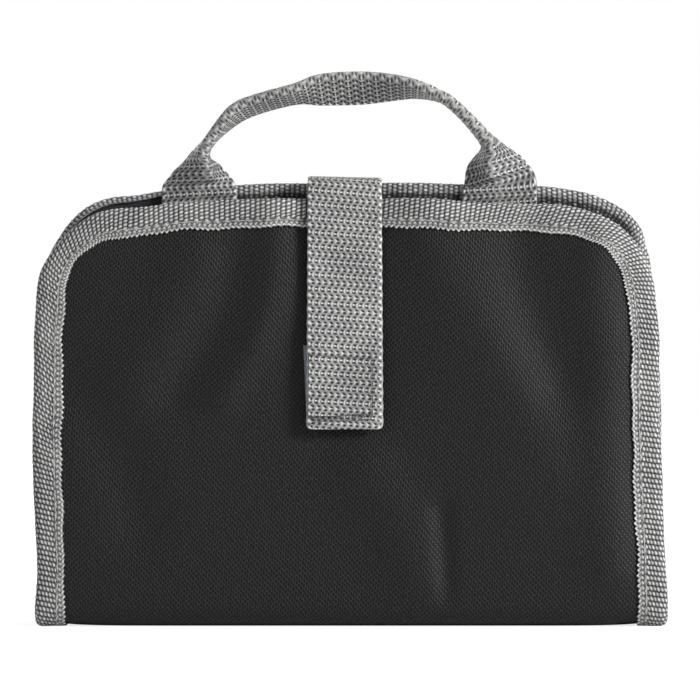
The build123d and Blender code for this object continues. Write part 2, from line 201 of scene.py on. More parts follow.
class Half:
    """One half of the bag: u runs along +X, t up from the fold's middle, w outwards from the lining."""

    def __init__(self, name, out, height, zip_v):
        self.name, self.out, self.height, self.zip_v = name, out, height, zip_v
        self.body = f"{name}_cover"
        self.up = np.array([0, out * sin(LEAN), cos(LEAN)])
        self.normal = np.array([0, -out * cos(LEAN), sin(LEAN)])
        edge = np.array([0, -out * BASE_DEPTH / 2, BEND + FOLD_GAP])
        self.origin = edge - self.normal * (CORE + TAPE)
        self.centre = np.array([0, -out * (BASE_DEPTH / 2 - BEND), BEND])
        self.flat = BASE_DEPTH / 2 - BEND
        self.sweep = pi / 2 + LEAN
        self.panel_t = self.flat + BEND * self.sweep
        self.panel_v = float((self.centre - self.origin) @ self.up)
        self.reach = float((edge - self.centre) @ self.normal)

    def t_of(self, v):
        return v - self.panel_v + self.panel_t

    def v_of(self, t):
        return t - self.panel_t + self.panel_v

    def v_at(self, z, w):
        """Height on the half of a place z above the table, w out from the lining."""
        return (z - self.origin[2] - self.normal[2] * w) / self.up[2]

    def normal_at(self, t):
        """Unit normals out of the bag at the places t."""
        angle = np.clip((t - self.flat) / BEND, 0, self.sweep)
        return np.stack([np.zeros_like(angle), -self.out * np.sin(angle), -np.cos(angle)], -1)

    def place(self, u, t, w, soft=True, inner=False):
        """World points. soft adds this half's own sag and waves, calmer for the inner layers."""
        u, t, w = np.broadcast_arrays(np.asarray(u, float), np.asarray(t, float), np.asarray(w, float))
        if soft:
            du, dt, dw = self.soft(u, t)
            if inner:
                dw = dw * (1 - self.calm(u, t))
            u, t, w = u + du, t + dt, w + dw
        inset = CORE + TAPE - w
        share = np.clip((t - self.flat) / (self.panel_t - self.flat), 0, 1)
        radius = BEND + (self.reach - BEND) * share - inset
        normal = self.normal_at(t)
        points = self.centre + normal * radius[..., None]
        points[..., 1] += self.out * np.clip(self.flat - t, 0, None)
        points += self.up * np.clip(t - self.panel_t, 0, None)[..., None]
        points[..., 0] = u
        return points

    def soft(self, u, t):
        """Small moves (sideways, up, out) that make the half hang as the real one does."""
        v = self.v_of(t)
        left, right = smooth_step(-u, 60, 125), smooth_step(u, 60, 125)
        if self.name == "front":
            top = smooth_step(v, 110, 160)
            du = left * np.interp(v, FRONT_WAVER_AT, FRONT_LEFT_WAVER)
            du = du + right * np.interp(v, FRONT_WAVER_AT, FRONT_RIGHT_WAVER)
            curl = 2.0 * smooth_step(u, 106, 127) * smooth_step(v, 6, 36)
            return du, -top * self.sag(u, FRONT_SAG), self.folds(u, v) - curl
        top = smooth_step(v, 104, 160)
        du = 0.9 * (1 - smooth_step(v, 0, 60)) + 1.2 * top
        du = du + right * np.interp(v, *REAR_RIGHT_WAVER) + left * np.interp(v, *REAR_LEFT_WAVER)
        bulge = 0.6 * hill(u, v, (40, 90), (60, 50)) - 0.5 * hill(u, v, (-60, 60), (50, 40))
        return du, -top * self.sag(u, REAR_SAG), bulge

    @staticmethod
    def sag(u, drops):
        """How far the top edge hangs down at the places u."""
        return sum(drop * smooth_step(u, low, high) for drop, low, high in drops)

    def calm(self, u, t):
        """How much of the waves the lining leaves out: all by the zip, none at the binding."""
        zip_line = np.exp(-(((self.v_of(t) - self.zip_v) / 16) ** 2))
        return smooth_step(from_tape(self, u, t), 0, 12) * (0.7 + 0.3 * zip_line)

    def folds(self, u, v):
        """The front cloth's soft folds, in millimetres out of the bag."""
        depth = bpy.context.scene.bag_sizes.fold_depth / MM
        height = sum(rise * np.exp(-((off_line(u, v, line) / width) ** 2)) for rise, width, line in FOLDS)
        places, *columns = zip(*LONG_FOLD)
        ridge, rise, slow_side = (np.interp(v, places, column) for column in columns)
        width = np.where(u < ridge, slow_side, LONG_FOLD_QUICK_SIDE)
        height = height + rise * np.exp(-(((u - ridge) / width) ** 2))
        return depth * smooth_step(v, -14, 14) * height

    def half_width(self, v):
        """Half the width inside the tape, which narrows a little towards the shoulders."""
        shoulder = self.height - CROWN
        return PANEL_WIDTH / 2 + (PANEL_TOP_WIDTH - PANEL_WIDTH) / 2 * np.clip(v / shoulder, 0, 1)

    def outline(self, step):
        """Edge points (u, t) from the left end of the fold over the top to the right end, evenly spaced."""
        shoulder = self.height - CROWN
        side = self.half_width(shoulder - CORNER)
        top_u = PANEL_TOP_WIDTH / 2 - CORNER
        lift = CROWN * (1 - (top_u / (PANEL_TOP_WIDTH / 2)) ** 2)
        turn = np.linspace(0, pi / 2, 25)[1:-1]
        corner_u = top_u + (side - top_u) * np.cos(turn)
        corner_v = shoulder - CORNER + (CORNER + lift) * np.sin(turn)
        crown_u = np.linspace(top_u, 0, 30)
        crown_v = shoulder + CROWN * (1 - (crown_u / (PANEL_TOP_WIDTH / 2)) ** 2)
        right = [(PANEL_WIDTH / 2, 0.0), (PANEL_WIDTH / 2, self.t_of(0.0))]
        right += [(side, self.t_of(shoulder - CORNER)), *zip(corner_u, self.t_of(corner_v))]
        right += zip(crown_u, self.t_of(crown_v))
        left = [(-u, t) for u, t in right]
        return resample(np.array(left + right[::-1][1:]), step, 2.0)


FRONT = Half("front", 1, FRONT_HEIGHT, 28.0)
REAR = Half("rear", -1, REAR_HEIGHT, 102.0)


def lengths(points):
    """Distance along rows of points, by their first three columns."""
    return np.concatenate([[0], np.cumsum(np.linalg.norm(np.diff(points[:, :3], axis=0), axis=1))])


def at_places(points, along, places):
    """Rows of points between the given rows, at places along them."""
    return np.stack([np.interp(places, along, column) for column in points.T], -1)


def resample(points, step, soften=0.0):
    """Rows of points, evenly spaced and softened over that many millimetres."""
    points = np.asarray(points, float)
    along = lengths(points)
    fine = np.linspace(0, along[-1], max(int(along[-1] / 0.25), 8))
    dense = at_places(points, along, fine)
    if soften:
        spacing = fine[1] - fine[0]
        half = max(int(3 * soften / spacing), 1)
        kernel = np.exp(-0.5 * (np.arange(-half, half + 1) * spacing / soften) ** 2)
        kernel /= kernel.sum()
        before = 2 * dense[0] - dense[1 : half + 1][::-1]
        after = 2 * dense[-1] - dense[-half - 1 : -1][::-1]
        padded = np.concatenate([before, dense, after])
        dense = np.stack([np.convolve(column, kernel, "valid") for column in padded.T], -1)
    along = lengths(dense)
    count = max(int(round(along[-1] / step)), 2)
    return at_places(dense, along, np.linspace(0, along[-1], count + 1))


def through(points, steps=12):
    """Rows of points on a smooth curve through the given ones."""
    points = np.asarray(points, float)
    padded = np.concatenate([2 * points[:1] - points[1:2], points, 2 * points[-1:] - points[-2:-1]])
    s = np.linspace(0, 1, steps, endpoint=False)[:, None]
    rows = [
        b + 0.5 * s * (c - a + s * (2 * a - 5 * b + 4 * c - d + s * (3 * (b - c) + d - a)))
        for a, b, c, d in zip(padded, padded[1:], padded[2:], padded[3:])
    ]
    return np.concatenate([*rows, points[-1:]])


def unit(vectors):
    return vectors / np.maximum(np.linalg.norm(vectors, axis=-1, keepdims=True), 1e-9)


# Meshes


def new_piece(name, points, faces, uv=None, relief=None):
    """A smooth-shaded mesh object from points in millimetres, with its UV map and relief attribute."""
    mesh = bpy.data.meshes.new(name)
    mesh.from_pydata((np.asarray(points).reshape(-1, 3) * MM).tolist(), [], faces)
    mesh.validate()
    corners = np.empty(len(mesh.loops), int)
    mesh.loops.foreach_get("vertex_index", corners)
    if uv is not None:
        layer = mesh.uv_layers.new(name="UVMap")
        layer.data.foreach_set("uv", np.asarray(uv, np.float32).reshape(-1, 2)[corners].ravel())
    if relief is not None:
        attribute = mesh.attributes.new("relief", "FLOAT", "POINT")
        attribute.data.foreach_set("value", np.asarray(relief, np.float32).ravel())
    mesh.polygons.foreach_set("use_smooth", np.ones(len(mesh.polygons), bool))
    shape = bmesh.new()
    shape.from_mesh(mesh)
    if shape.calc_volume(signed=True) < 0:
        mesh.flip_normals()
    shape.free()
    piece = bpy.data.objects.new(name, mesh)
    bpy.context.scene.collection.objects.link(piece)
    return piece


def grid_faces(rows, columns, wrap=False, start=0, flip=False):
    """Quads of a grid of points; wrap joins its last column to its first."""
    across = columns if wrap else columns - 1
    i, j = np.meshgrid(np.arange(rows - 1), np.arange(across), indexing="ij")
    k = (j + 1) % columns
    quads = np.stack([i * columns + j, i * columns + k, (i + 1) * columns + k, (i + 1) * columns + j], -1)
    quads = quads.reshape(-1, 4) + start
    return (quads[:, ::-1] if flip else quads).tolist()


def tube_piece(name, loops, uv, relief=None, flip=False):
    """A closed solid from rows of closed cross-sections, with its two ends capped."""
    rows, columns = loops.shape[:2]
    faces = grid_faces(rows, columns, wrap=True, flip=flip)
    first = list(range(columns))
    last = [(rows - 1) * columns + i for i in range(columns)]
    faces.append(first if flip else first[::-1])
    faces.append(last[::-1] if flip else last)
    return new_piece(name, loops, faces, uv, relief)


def closed_sheet(name, upper, lower, uv=None, relief=None):
    """A sheet from its two faces, grids of the same size, with its edge closed all round."""
    rows, columns = upper.shape[:2]
    size = rows * columns
    faces = grid_faces(rows, columns) + grid_faces(rows, columns, start=size, flip=True)
    edge = list(range(columns)) + [i * columns + columns - 1 for i in range(1, rows)]
    edge += [(rows - 1) * columns + i for i in range(columns - 2, -1, -1)]
    edge += [i * columns for i in range(rows - 2, 0, -1)]
    faces += [[a, a + size, b + size, b] for a, b in zip(edge, edge[1:] + edge[:1])]
    points = np.concatenate([upper.reshape(-1, 3), lower.reshape(-1, 3)])
    both = [None if values is None else np.concatenate([values, values]) for values in (uv, relief)]
    return new_piece(name, points, faces, *both)


def slab_piece(name, half, outer, inner, foot, margin, step):
    """A layer of a half from t = foot to its top, closed all round, that margin inside the edge.

    outer and inner are its faces: distance from the lining, puff between the tapes, how slowly
    the puff starts, and whether the face keeps to the lining's calmer waves.
    """
    head = half.t_of(half.height - CROWN * 0.55) - margin
    rows, columns = max(int((head - foot) / step), 2), int(PANEL_WIDTH / step)
    t = np.linspace(foot, head, rows + 1)
    v = half.v_of(t)
    shoulder = half.height - CROWN - CORNER
    drop = np.clip((v - shoulder) / (CORNER + CROWN * 0.45), 0, 1)
    width = half.half_width(v) - CORNER * (1 - np.sqrt(1 - drop**2)) - margin
    u = width[:, None] * np.linspace(-1, 1, columns + 1)[None, :]
    crown = CROWN * (1 - (u / (PANEL_TOP_WIDTH / 2)) ** 2)
    tall = smooth_step(v, half.height - 60, half.height)[:, None]
    grid_t = t[:, None] + (crown - CROWN * 0.45) * tall
    faces = []
    for w, puff, reach, calm in (outer, inner):
        stand = puff * (1 - np.exp(-from_tape(half, u, grid_t) / reach))
        faces.append(half.place(u, grid_t, w + stand, inner=calm))
    return closed_sheet(name, *faces, np.stack([u, grid_t], -1).reshape(-1, 2))


def from_tape(half, u, t):
    """Distance from the tape's inner edge towards the middle of a half."""
    v = half.v_of(t)
    side = half.half_width(v) - TAPE_COVER - np.abs(u)
    return np.clip(np.minimum(side, half.height - TAPE_COVER - v), 0, None)


def grid_uv(across, along):
    """UV places of a grid of points, whose rows follow one another along a piece."""
    return np.stack(np.broadcast_arrays(across, along[:, None]), -1)


def rounded_edge(off_middle, flat, edge):
    """Share of a band's thickness at each distance from its middle, thinner over its edge."""
    return np.sqrt(np.clip(1 - np.clip((np.abs(off_middle) - flat) / edge, 0, 1) ** 2, 0.05, 1))


def thread_piece(name, lines, radius, sides=6):
    """Short round threads, one along each line of points; their ends are closed."""
    points, faces = [], []
    turn = np.linspace(0, 2 * pi, sides, endpoint=False)
    for line in lines:
        line = np.asarray(line, float)
        along = unit(np.gradient(line, axis=0))
        side = unit(np.cross(along, (0.31, 0.87, 0.38)))
        other = np.cross(along, side)
        ring = np.cos(turn)[None, :, None] * side[:, None] + np.sin(turn)[None, :, None] * other[:, None]
        thick = np.full(len(line), radius)
        thick[[0, -1]] *= 0.6
        start = len(points) * sides
        points.extend(line[:, None] + ring * thick[:, None, None])
        faces += grid_faces(len(line), sides, wrap=True, start=start)
        faces.append([start + i for i in range(sides)][::-1])
        faces.append([start + (len(line) - 1) * sides + i for i in range(sides)])
    return new_piece(name, np.array(points), faces)


def stitch_lines(path, lift, stitch):
    """Lines of single stitches along a path of points, bowed out along lift."""
    along = lengths(path)
    count = max(int(along[-1] / stitch), 1)
    lines = []
    for index in range(count):
        places = (index + np.array([0.1, 0.28, 0.5, 0.72, 0.9])) * along[-1] / count
        rise = np.array([-0.3, 0.18, 0.26, 0.18, -0.3])[:, None]
        lines.append(at_places(path, along, places) + at_places(lift, along, places) * rise)
    return lines


# Weaves


def webbing_weave(u, v):
    """Tone of the webbing's face: 0 in the holes between its yarns, 1 on the crests of its ribbons.

    Its numbers place the yarns as on the photographed strap, in millimetres and turns of the repeat.
    """
    column = bpy.context.scene.bag_sizes.column / MM
    v = v + 0.064 * u
    swing = 2 * pi * v / WEAVE_REPEAT
    place = (u + 0.7 + 0.7 * np.sin(swing)) / column
    off = (place - np.round(place)) * column
    row = np.cos(4 * (swing - 1.03))
    hole = smooth_step(-np.abs(off), -0.8, -0.3) * smooth_step(row, -0.5, 0.4)
    beside = (place - np.floor(place) - 0.5) * column
    bowed = np.angle(np.exp(1j * (swing - 1.815)))
    slanted = np.angle(np.exp(1j * (swing + 1.33)))
    # Painted highlight: a bright crescent along the top of each ribbon; as relief it also lifts that top a
    # little.
    crest_highlight = np.exp(-((beside / 0.3) ** 2) - (bowed / 1.0) ** 2)
    # Painted shade: a dark line beside the top of each ribbon.
    crease_shade = np.exp(-(((beside - 0.5) / 0.22) ** 2) - (bowed / 1.3) ** 2)
    spot = np.exp(-(((off + 0.2) / 0.38) ** 2) - (bowed / 0.42) ** 2)
    wedge = np.exp(-(((beside - 0.3 - 0.25 * slanted) / 0.48) ** 2) - (slanted / 0.9) ** 2)
    ground = 0.52 + 0.42 * crest_highlight + 0.34 * wedge - 0.26 * crease_shade
    return np.clip(ground * (1 - hole) + 0.62 * spot, 0, 1)


def with_selvedge(tone, across, along):
    """Puts the webbing's chain of edge loops on its face, and a plain mid tone on the edge itself."""
    near, rim = smooth_step(np.abs(across), 13.6, 14.0), smooth_step(np.abs(across), 14.3, 14.9)
    chain = (0.62 + 0.38 * np.cos(4 * pi * along / WEAVE_REPEAT)) * (1 - rim) + 0.55 * rim
    return tone * (1 - near) + chain * near


def tape_weave(a, v, lean):
    """Tone of the binding tape's face at a from its outer edge: ribs of grains, and loops by its selvedge.

    The grains are 1.43 mm apart and end 7.3 mm from the edge, where the stitches and loops start.
    """
    rib_pitch = bpy.context.scene.bag_sizes.rib / MM
    row = (v + lean * a) / rib_pitch
    step = np.round(row)
    up = row - step
    grain = a / 1.43 + 0.5 * (step % 2) + 0.12 * np.sin(step * 2.3) + 0.3 * up
    side = grain - np.round(grain)
    rib = smooth_step(0.5 - np.abs(up), 0.0, 0.2)
    oval = np.exp(-((up / 0.46) ** 2) - ((side / 0.31) ** 2))
    oval = oval * (0.88 + 0.12 * np.sin(12.9 * step + 78.2 * np.round(grain)))
    ground = rib * (0.05 + 1.0 * oval)
    thread = 0.6 + 0.3 * np.cos(2 * pi * v / (2 * rib_pitch))
    knot = v / rib_pitch + 0.5
    narrow = np.exp(-(((knot - np.round(knot)) / 0.3) ** 2) - (((a - 9.1) / 0.42) ** 2))
    bump = np.cos(2 * pi * v / rib_pitch)
    rim = np.exp(-(((a - 10.35 - 0.2 * bump) / 0.38) ** 2)) * (0.68 + 0.32 * bump)
    loops = 0.12 + 0.85 * narrow + 1.0 * rim
    line = np.exp(-(((a - TAPE_SEWN) / 0.34) ** 2)) * thread
    edge = smooth_step(a, 7.3, 7.6)
    return np.clip(np.maximum(ground * (1 - edge) + loops * smooth_step(a, 8.2, 8.5), line), 0, 1)


# Materials


def set_inputs(tree, node, inputs):
    """Sets inputs to values, or links them to sockets or to the first outputs of nodes."""
    for key, value in inputs.items():
        if isinstance(value, bpy.types.Node):
            value = value.outputs[0]
        if isinstance(value, bpy.types.NodeSocket):
            tree.links.new(value, node.inputs[key])
        else:
            node.inputs[key].default_value = value


def add_node(tree, kind, inputs=None, **settings):
    """Adds a node of a kind, such as TexNoise, with its settings and inputs."""
    node = tree.nodes.new("ShaderNode" + kind)
    for key, value in settings.items():
        setattr(node, key, value)
    set_inputs(tree, node, inputs or {})
    return node


def new_material(name):
    """An empty material with its surface shader linked: (material, tree, shader)."""
    material = bpy.data.materials.new(name)
    material.use_nodes = True
    tree = material.node_tree
    tree.nodes.clear()
    shader = add_node(tree, "BsdfPrincipled")
    add_node(tree, "OutputMaterial", {"Surface": shader})
    return material, tree, shader


def oxford_cloth(name, ground, fleck, yarn):
    """Coated 600-denier polyester in a plain weave, cut a little off its grain.

    The eye gets a near-black cloth of small pits between faintly grey raised yarns.
    """
    material, tree, shader = new_material(name)
    uv = add_node(tree, "UVMap", uv_map="UVMap")
    turned = add_node(tree, "Mapping", {0: uv, "Rotation": (0, 0, radians(5.4))})
    drift = add_node(tree, "TexNoise", {"Vector": uv, "Scale": 0.05, "Detail": 2.0})
    kinks = add_node(tree, "TexNoise", {"Vector": uv, "Scale": 0.55, "Detail": 1.0})
    split = add_node(tree, "SeparateXYZ", {0: turned})
    waves = []
    for axis in (0, 1):
        drifting = {0: drift, 1: 1.4, 2: split.outputs[axis]}
        bent = add_node(tree, "Math", drifting, operation="MULTIPLY_ADD")
        kinked = {0: kinks.outputs[axis], 1: 0.55 * yarn, 2: bent}
        moved = add_node(tree, "Math", kinked, operation="MULTIPLY_ADD")
        phase = add_node(tree, "Math", {0: moved, 1: pi / yarn}, operation="MULTIPLY")
        waves.append(add_node(tree, "Math", {0: phase}, operation="SINE"))
    apart = add_node(tree, "Math", {0: waves[0], 1: -0.93, 2: waves[1]}, operation="MULTIPLY_ADD")
    weave = add_node(tree, "Math", {0: waves[0], 1: apart}, operation="MULTIPLY")
    lifted = {0: weave, 1: -0.72, 2: 0.36}
    raised = add_node(tree, "MapRange", lifted, interpolation_type="SMOOTHSTEP")
    fine = add_node(tree, "TexNoise", {"Vector": uv, "Scale": 0.8, "Detail": 2.0})
    uneven = add_node(tree, "MapRange", {0: fine, 1: 0.34, 2: 0.66, 3: 0.3, 4: 1.06})
    amount = add_node(tree, "Math", {0: raised, 1: uneven}, operation="MULTIPLY")
    mix = add_node(tree, "Mix", {0: amount, 6: ground, 7: fleck}, data_type="RGBA")
    bump = add_node(tree, "Bump", {"Strength": 0.5, "Distance": 0.00025, "Height": raised})
    look = {"Base Color": mix.outputs[2], "Normal": bump, "Roughness": 0.5, "Specular IOR Level": 0.25}
    set_inputs(tree, shader, look)
    return material


def spun_yarn(name, light, dark, filament, contrast):
    """Spun polypropylene or polyester yarn, woven into webbing or tape.

    The eye gets dull, slightly glossy bundles of filaments with dark gaps between them.
    """
    material, tree, shader = new_material(name)
    uv = add_node(tree, "UVMap", uv_map="UVMap")
    relief = add_node(tree, "Attribute", attribute_name="relief").outputs["Fac"]
    stretched = add_node(tree, "Mapping", {0: uv, "Scale": filament})
    hairs = add_node(tree, "TexNoise", {"Vector": stretched, "Scale": 1.0, "Detail": 2.0})
    tone = add_node(tree, "MapRange", {0: hairs, 1: 0.25, 2: 0.75, 3: -0.16, 4: 0.1})
    patch = add_node(tree, "TexNoise", {"Vector": uv, "Scale": 0.06, "Detail": 1.0})
    faded = add_node(tree, "MapRange", {0: patch, 1: 0.3, 2: 0.7, 3: -0.05, 4: 0.05})
    summed = add_node(tree, "Math", {0: relief, 1: tone}, operation="ADD")
    total = add_node(tree, "Math", {0: summed, 1: faded}, operation="ADD")
    held = add_node(tree, "Clamp", {0: total})
    deep = add_node(tree, "Math", {0: held, 1: contrast}, operation="POWER")
    mix = add_node(tree, "Mix", {0: deep, 6: dark, 7: light}, data_type="RGBA")
    bump = add_node(tree, "Bump", {"Strength": 0.35, "Distance": 0.0002, "Height": total})
    look = {"Base Color": mix.outputs[2], "Normal": bump, "Roughness": 0.6, "Specular IOR Level": 0.3}
    set_inputs(tree, shader, look)
    return material


def plain_finish(name, colour, roughness, grain, depth, coat=0.0, shade=0.72):
    """A finish with a fine grain, grain per metre of the piece, its dark spots as shade says."""
    material, tree, shader = new_material(name)
    place = add_node(tree, "TexCoord").outputs["Object"]
    noise = add_node(tree, "TexNoise", {"Vector": place, "Scale": grain, "Detail": 3.0})
    darker = [c * shade for c in colour[:3]] + [1.0]
    mix = add_node(tree, "Mix", {0: noise, 6: darker, 7: colour}, data_type="RGBA")
    spread = {0: noise, 1: 0.3, 2: 0.7, 3: roughness - 0.08, 4: roughness + 0.08}
    rough = add_node(tree, "MapRange", spread)
    bump = add_node(tree, "Bump", {"Strength": 0.4, "Distance": depth, "Height": noise})
    look = {"Base Color": mix.outputs[2], "Normal": bump, "Roughness": rough, "Coat Weight": coat}
    set_inputs(tree, shader, look)
    return material


def finish(piece, material, slot, body=None):
    """Gives a piece its material and, when a body is given, attaches it to that body; slot is not used."""
    piece.data.materials.clear()
    piece.data.materials.append(material)
    if body:
        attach(piece, body)
    return piece


def bend_with(piece, half):
    """Bakes the place of a piece that runs from the fold up a half into its mesh."""
    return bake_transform(piece)


# Pieces


def cloth_layer(name, part, material, slot, outer, inner, step):
    """A layer of cloth on each half from the middle of the fold to its top edge."""
    for half, fold in ((FRONT, [f"spine_{part}"]), (REAR, [])):
        piece = slab_piece(f"{half.name}_{name}", half, outer, inner, 0, CLOTH_MARGIN, step)
        finish(piece, material, slot)
        bend_with(piece, half)
        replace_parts(piece, f"{half.name}_{part}", *fold)
        size = (PANEL_WIDTH * MM, half.t_of(half.height) * MM)


class BAG_OT_cloth(bpy.types.Operator):
    """Outer cloth of both halves, each from the middle of the fold to its top edge"""

    bl_idname = "bag.cloth"
    bl_label = "Outer cloth"

    def execute(self, context):
        sizes, colours = context.scene.bag_sizes, context.scene.bag_colours
        # Coated polyester: near black, its grain of small pits at the real size.
        look = (colours.cloth, colours.cloth_fleck, sizes.yarn / MM)
        material = oxford_cloth("black_oxford_polyester", *look)
        outer, inner = ((w, sizes.cloth_puff / MM, PUFF_REACH, False) for w in (CORE, CORE - SHELL))
        cloth_layer("cloth", "shell", material, "black_polyester", outer, inner, 2.0)
        return {"FINISHED"}


class BAG_OT_foam(bpy.types.Operator):
    """Foam boards between the cloth and the lining"""

    bl_idname = "bag.foam"
    bl_label = "Foam boards"

    def execute(self, context):
        # Polyethylene foam: dull off-white, with the fine speckle of its cells.
        material = plain_finish("polyethylene_foam", context.scene.bag_colours.foam, 0.9, 900, 0.0002)
        puff = context.scene.bag_sizes.cloth_puff / MM
        outer = (CORE - SHELL - FOAM_GAP, puff, PUFF_REACH, False)
        inner = (LINING + FOAM_GAP, 0, PUFF_REACH, True)
        for half in (FRONT, REAR):
            piece = slab_piece(f"{half.name}_foam", half, outer, inner, half.t_of(FOAM_FOOT), 2.0, 3.0)
            finish(piece, material, "foam_board", half.body)
            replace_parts(piece, f"{half.name}_stiffener")
        return {"FINISHED"}


class BAG_OT_lining(bpy.types.Operator):
    """Lining of both halves, each from the middle of the fold to its top edge"""

    bl_idname = "bag.lining"
    bl_label = "Lining"

    def execute(self, context):
        # Coated nylon: a dark grey, closer weave, drawn at 0.6 mm and so coarser than it is.
        look = (context.scene.bag_colours.lining, linear("#33333a"), 0.6)
        material = oxford_cloth("coated_nylon_lining", *look)
        outer, inner = ((w, -0.15, 6, True) for w in (LINING, 0))
        cloth_layer("lining_cloth", "lining", material, "black_lining", outer, inner, 2.5)
        return {"FINISHED"}


# The tape's changes round each half, as shares of its length and the values there: the lean of
# its ribs, the share of its width that lies on the inner face, and how much painted shade darkens
# that face between its crests, where the rear tape stands in the front half's shade.
TAPE_CHANGES = {
    "front": {
        "lean": (
            (0, 0.05, 0.12, 0.18, 0.24, 0.31, 0.36, 0.58, 0.63, 0.7, 0.76, 1),
            (0.2, 0.2, 0.25, 0.8, 0.8, 0.4, 0.0, 0.1, 0.5, 0.3, 0.16, 0.14),
        ),
        "width": ((0, 1), (1, 1)),
        "shade": ((0, 1), (0, 0)),
    },
    "rear": {
        "lean": ((0, 0.2, 0.5, 0.8, 1), (0, 0.2, -0.1, 0.25, 0)),
        "width": (
            (0.24, 0.27, 0.375, 0.39, 0.715, 0.735, 0.8, 0.85),
            (1, 0.1, 0.05, 1, 1, 0.36, 0.36, 1),
        ),
        "shade": ((0.375, 0.4, 0.78, 0.8), (0, 1.8, 1.8, 0)),
    },
}


def tape_change(half, kind, along):
    """A column of the tape's lean, width or shade at the places along it."""
    return np.interp(along / along[-1], *TAPE_CHANGES[half.name][kind])[:, None]


def tape_section():
    """The folded tape's middle line across the edge: (in from the edge, out from the lining)."""
    outer, inner = CORE + TAPE / 2, -TAPE / 2
    points = [(TAPE_COVER, outer), (1.6, outer + 0.1), (0.1, outer - 0.7), (-0.35, CORE / 2)]
    points += [(0.1, inner + 0.7), (1.6, inner - 0.1), (TAPE_COVER, inner)]
    fine = resample(np.array(points), 0.1, 0.7)
    along = lengths(fine)
    end = along[-1]
    outside, edge = np.arange(0, 12.2, 0.42), np.arange(12.3, end - 11.2, 0.55)
    return at_places(fine, along, np.concatenate([outside, edge, np.linspace(end - 11, end, 18)]))


class BAG_OT_binding(bpy.types.Operator):
    """Ribbed tape folded round the sides and the top of each half, and its row of stitches"""

    bl_idname = "bag.binding"
    bl_label = "Binding"

    def execute(self, context):
        colours, sizes = context.scene.bag_colours, context.scene.bag_sizes
        # Ribbed polyester tape: rows of pale, dull grains with dark gaps, and a knotted selvedge.
        look = (colours.yarn, colours.gap, (2.0, 7.0, 1.0), 1.4)
        material = spun_yarn("ribbed_polyester_tape", *look)
        # Spun polyester thread: light grey, dull and a little fuzzy.
        thread = plain_finish("spun_polyester_thread", linear("#bcbcba"), 0.6, 4000, 0.0001)
        for half, side in ((FRONT, "left"), (REAR, "right")):
            piece = finish(self.tape(half), material, "grey_binding_tape")
            bend_with(piece, half)
            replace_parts(piece, f"{half.name}_binding", f"spine_binding_{side}")
            stitches = finish(self.stitches(half, sizes.stitch / MM), thread, "grey_binding_tape")
            bend_with(stitches, half)
        return {"FINISHED"}

    @staticmethod
    def edge(half, step):
        """Edge points, unit vectors into the half, and the distance along."""
        line = half.outline(step)
        along = unit(np.gradient(line, axis=0))
        return line, np.stack([along[:, 1], -along[:, 0]], -1), lengths(line)

    def tape(self, half):
        """The tape's section swept round the half, with ribs, selvedge loops and a wavering edge."""
        line, inward, along = self.edge(half, 0.43)
        section = tape_section()
        turn = unit(np.gradient(section, axis=0))
        out_a, out_w = turn[:, 1], -turn[:, 0]
        reach = lengths(section)
        middle = reach[-1] / 2
        inner_face = reach > middle
        a = np.broadcast_to(np.abs(reach - middle) - (middle - TAPE_COVER), (len(line), len(section)))
        lean = np.where(reach < middle, 1, -1) * tape_change(half, "lean", along)
        height = tape_weave(a, along[:, None], lean)
        wave = 0.3 * np.sin(along / 7.3) + 0.25 * np.sin(along / 3.1 + 1) + 0.2 * np.sin(along / 17.0 + 2)
        scallop = 0.32 * np.cos(2 * pi * along / 2.09) + 0.14 * np.cos(2 * pi * along / 4.18)
        share = smooth_step(a, 4, TAPE_COVER)
        depth = section[:, 0] + share * (wave + scallop)[:, None]
        width = tape_change(half, "width", along)
        narrowed = np.minimum(depth, section[:, 0] * width + (1 - width) * 1.0)
        depth = np.where(inner_face, narrowed, depth)
        puff = 0.25 * np.sin(along / 9.7)[:, None] * (1 - share)
        skin = TAPE / 2 + 0.3 * (height - 0.4) + puff
        outer = self.place(half, line, inward, depth + out_a * skin, section[:, 1] + out_w * skin)
        pick = np.linspace(len(section) - 1, 0, 9).round().astype(int)
        in_a, in_w = (depth - out_a * TAPE / 2)[:, pick], (section[:, 1] - out_w * TAPE / 2)[pick]
        inner = self.place(half, line, inward, in_a, in_w)
        loops = np.concatenate([outer, inner], axis=1)
        uv = grid_uv(np.concatenate([reach, reach[pick]]), along)
        # Painted shade: the rear tape's inner face, shaded by the front half, is drawn darker between its
        # crests.
        darker = tape_change(half, "shade", along) * inner_face * smooth_step(a, 2.6, 4.0)
        relief = np.concatenate([height ** (1 + darker), np.zeros((len(line), len(pick)))], axis=1)
        return tube_piece(f"{half.name}_tape", loops, uv, relief)

    @staticmethod
    def place(half, line, inward, a, w):
        """World points at a in from the edge and w out from the lining."""
        return half.place(line[:, :1] + inward[:, :1] * a, line[:, 1:2] + inward[:, 1:2] * a, w)

    def stitches(self, half, stitch):
        """One row of stitches on each face, near the tape's selvedge."""
        line, inward, along = self.edge(half, 1.0)
        full = tape_change(half, "width", along)[:, 0] > 0.99
        lines = []
        for face, w in ((1, CORE + TAPE + 0.02), (-1, -TAPE - 0.02)):
            path = self.place(half, line, inward, TAPE_SEWN, w)[:, 0]
            lift = self.place(half, line, inward, TAPE_SEWN, w + face)[:, 0] - path
            kept = full | (face > 0)
            for run in np.split(np.arange(len(line)), np.flatnonzero(np.diff(kept.astype(int))) + 1):
                if kept[run[0]]:
                    lines += stitch_lines(path[run], lift[run], stitch)
        return thread_piece(f"{half.name}_tape_thread", lines, 0.17)


def point_on(half, v, w):
    """Place (y, z) on a half, without its sag and waves."""
    point = half.place(0.0, half.t_of(v), w, soft=False)
    return float(point[1]), float(point[2])


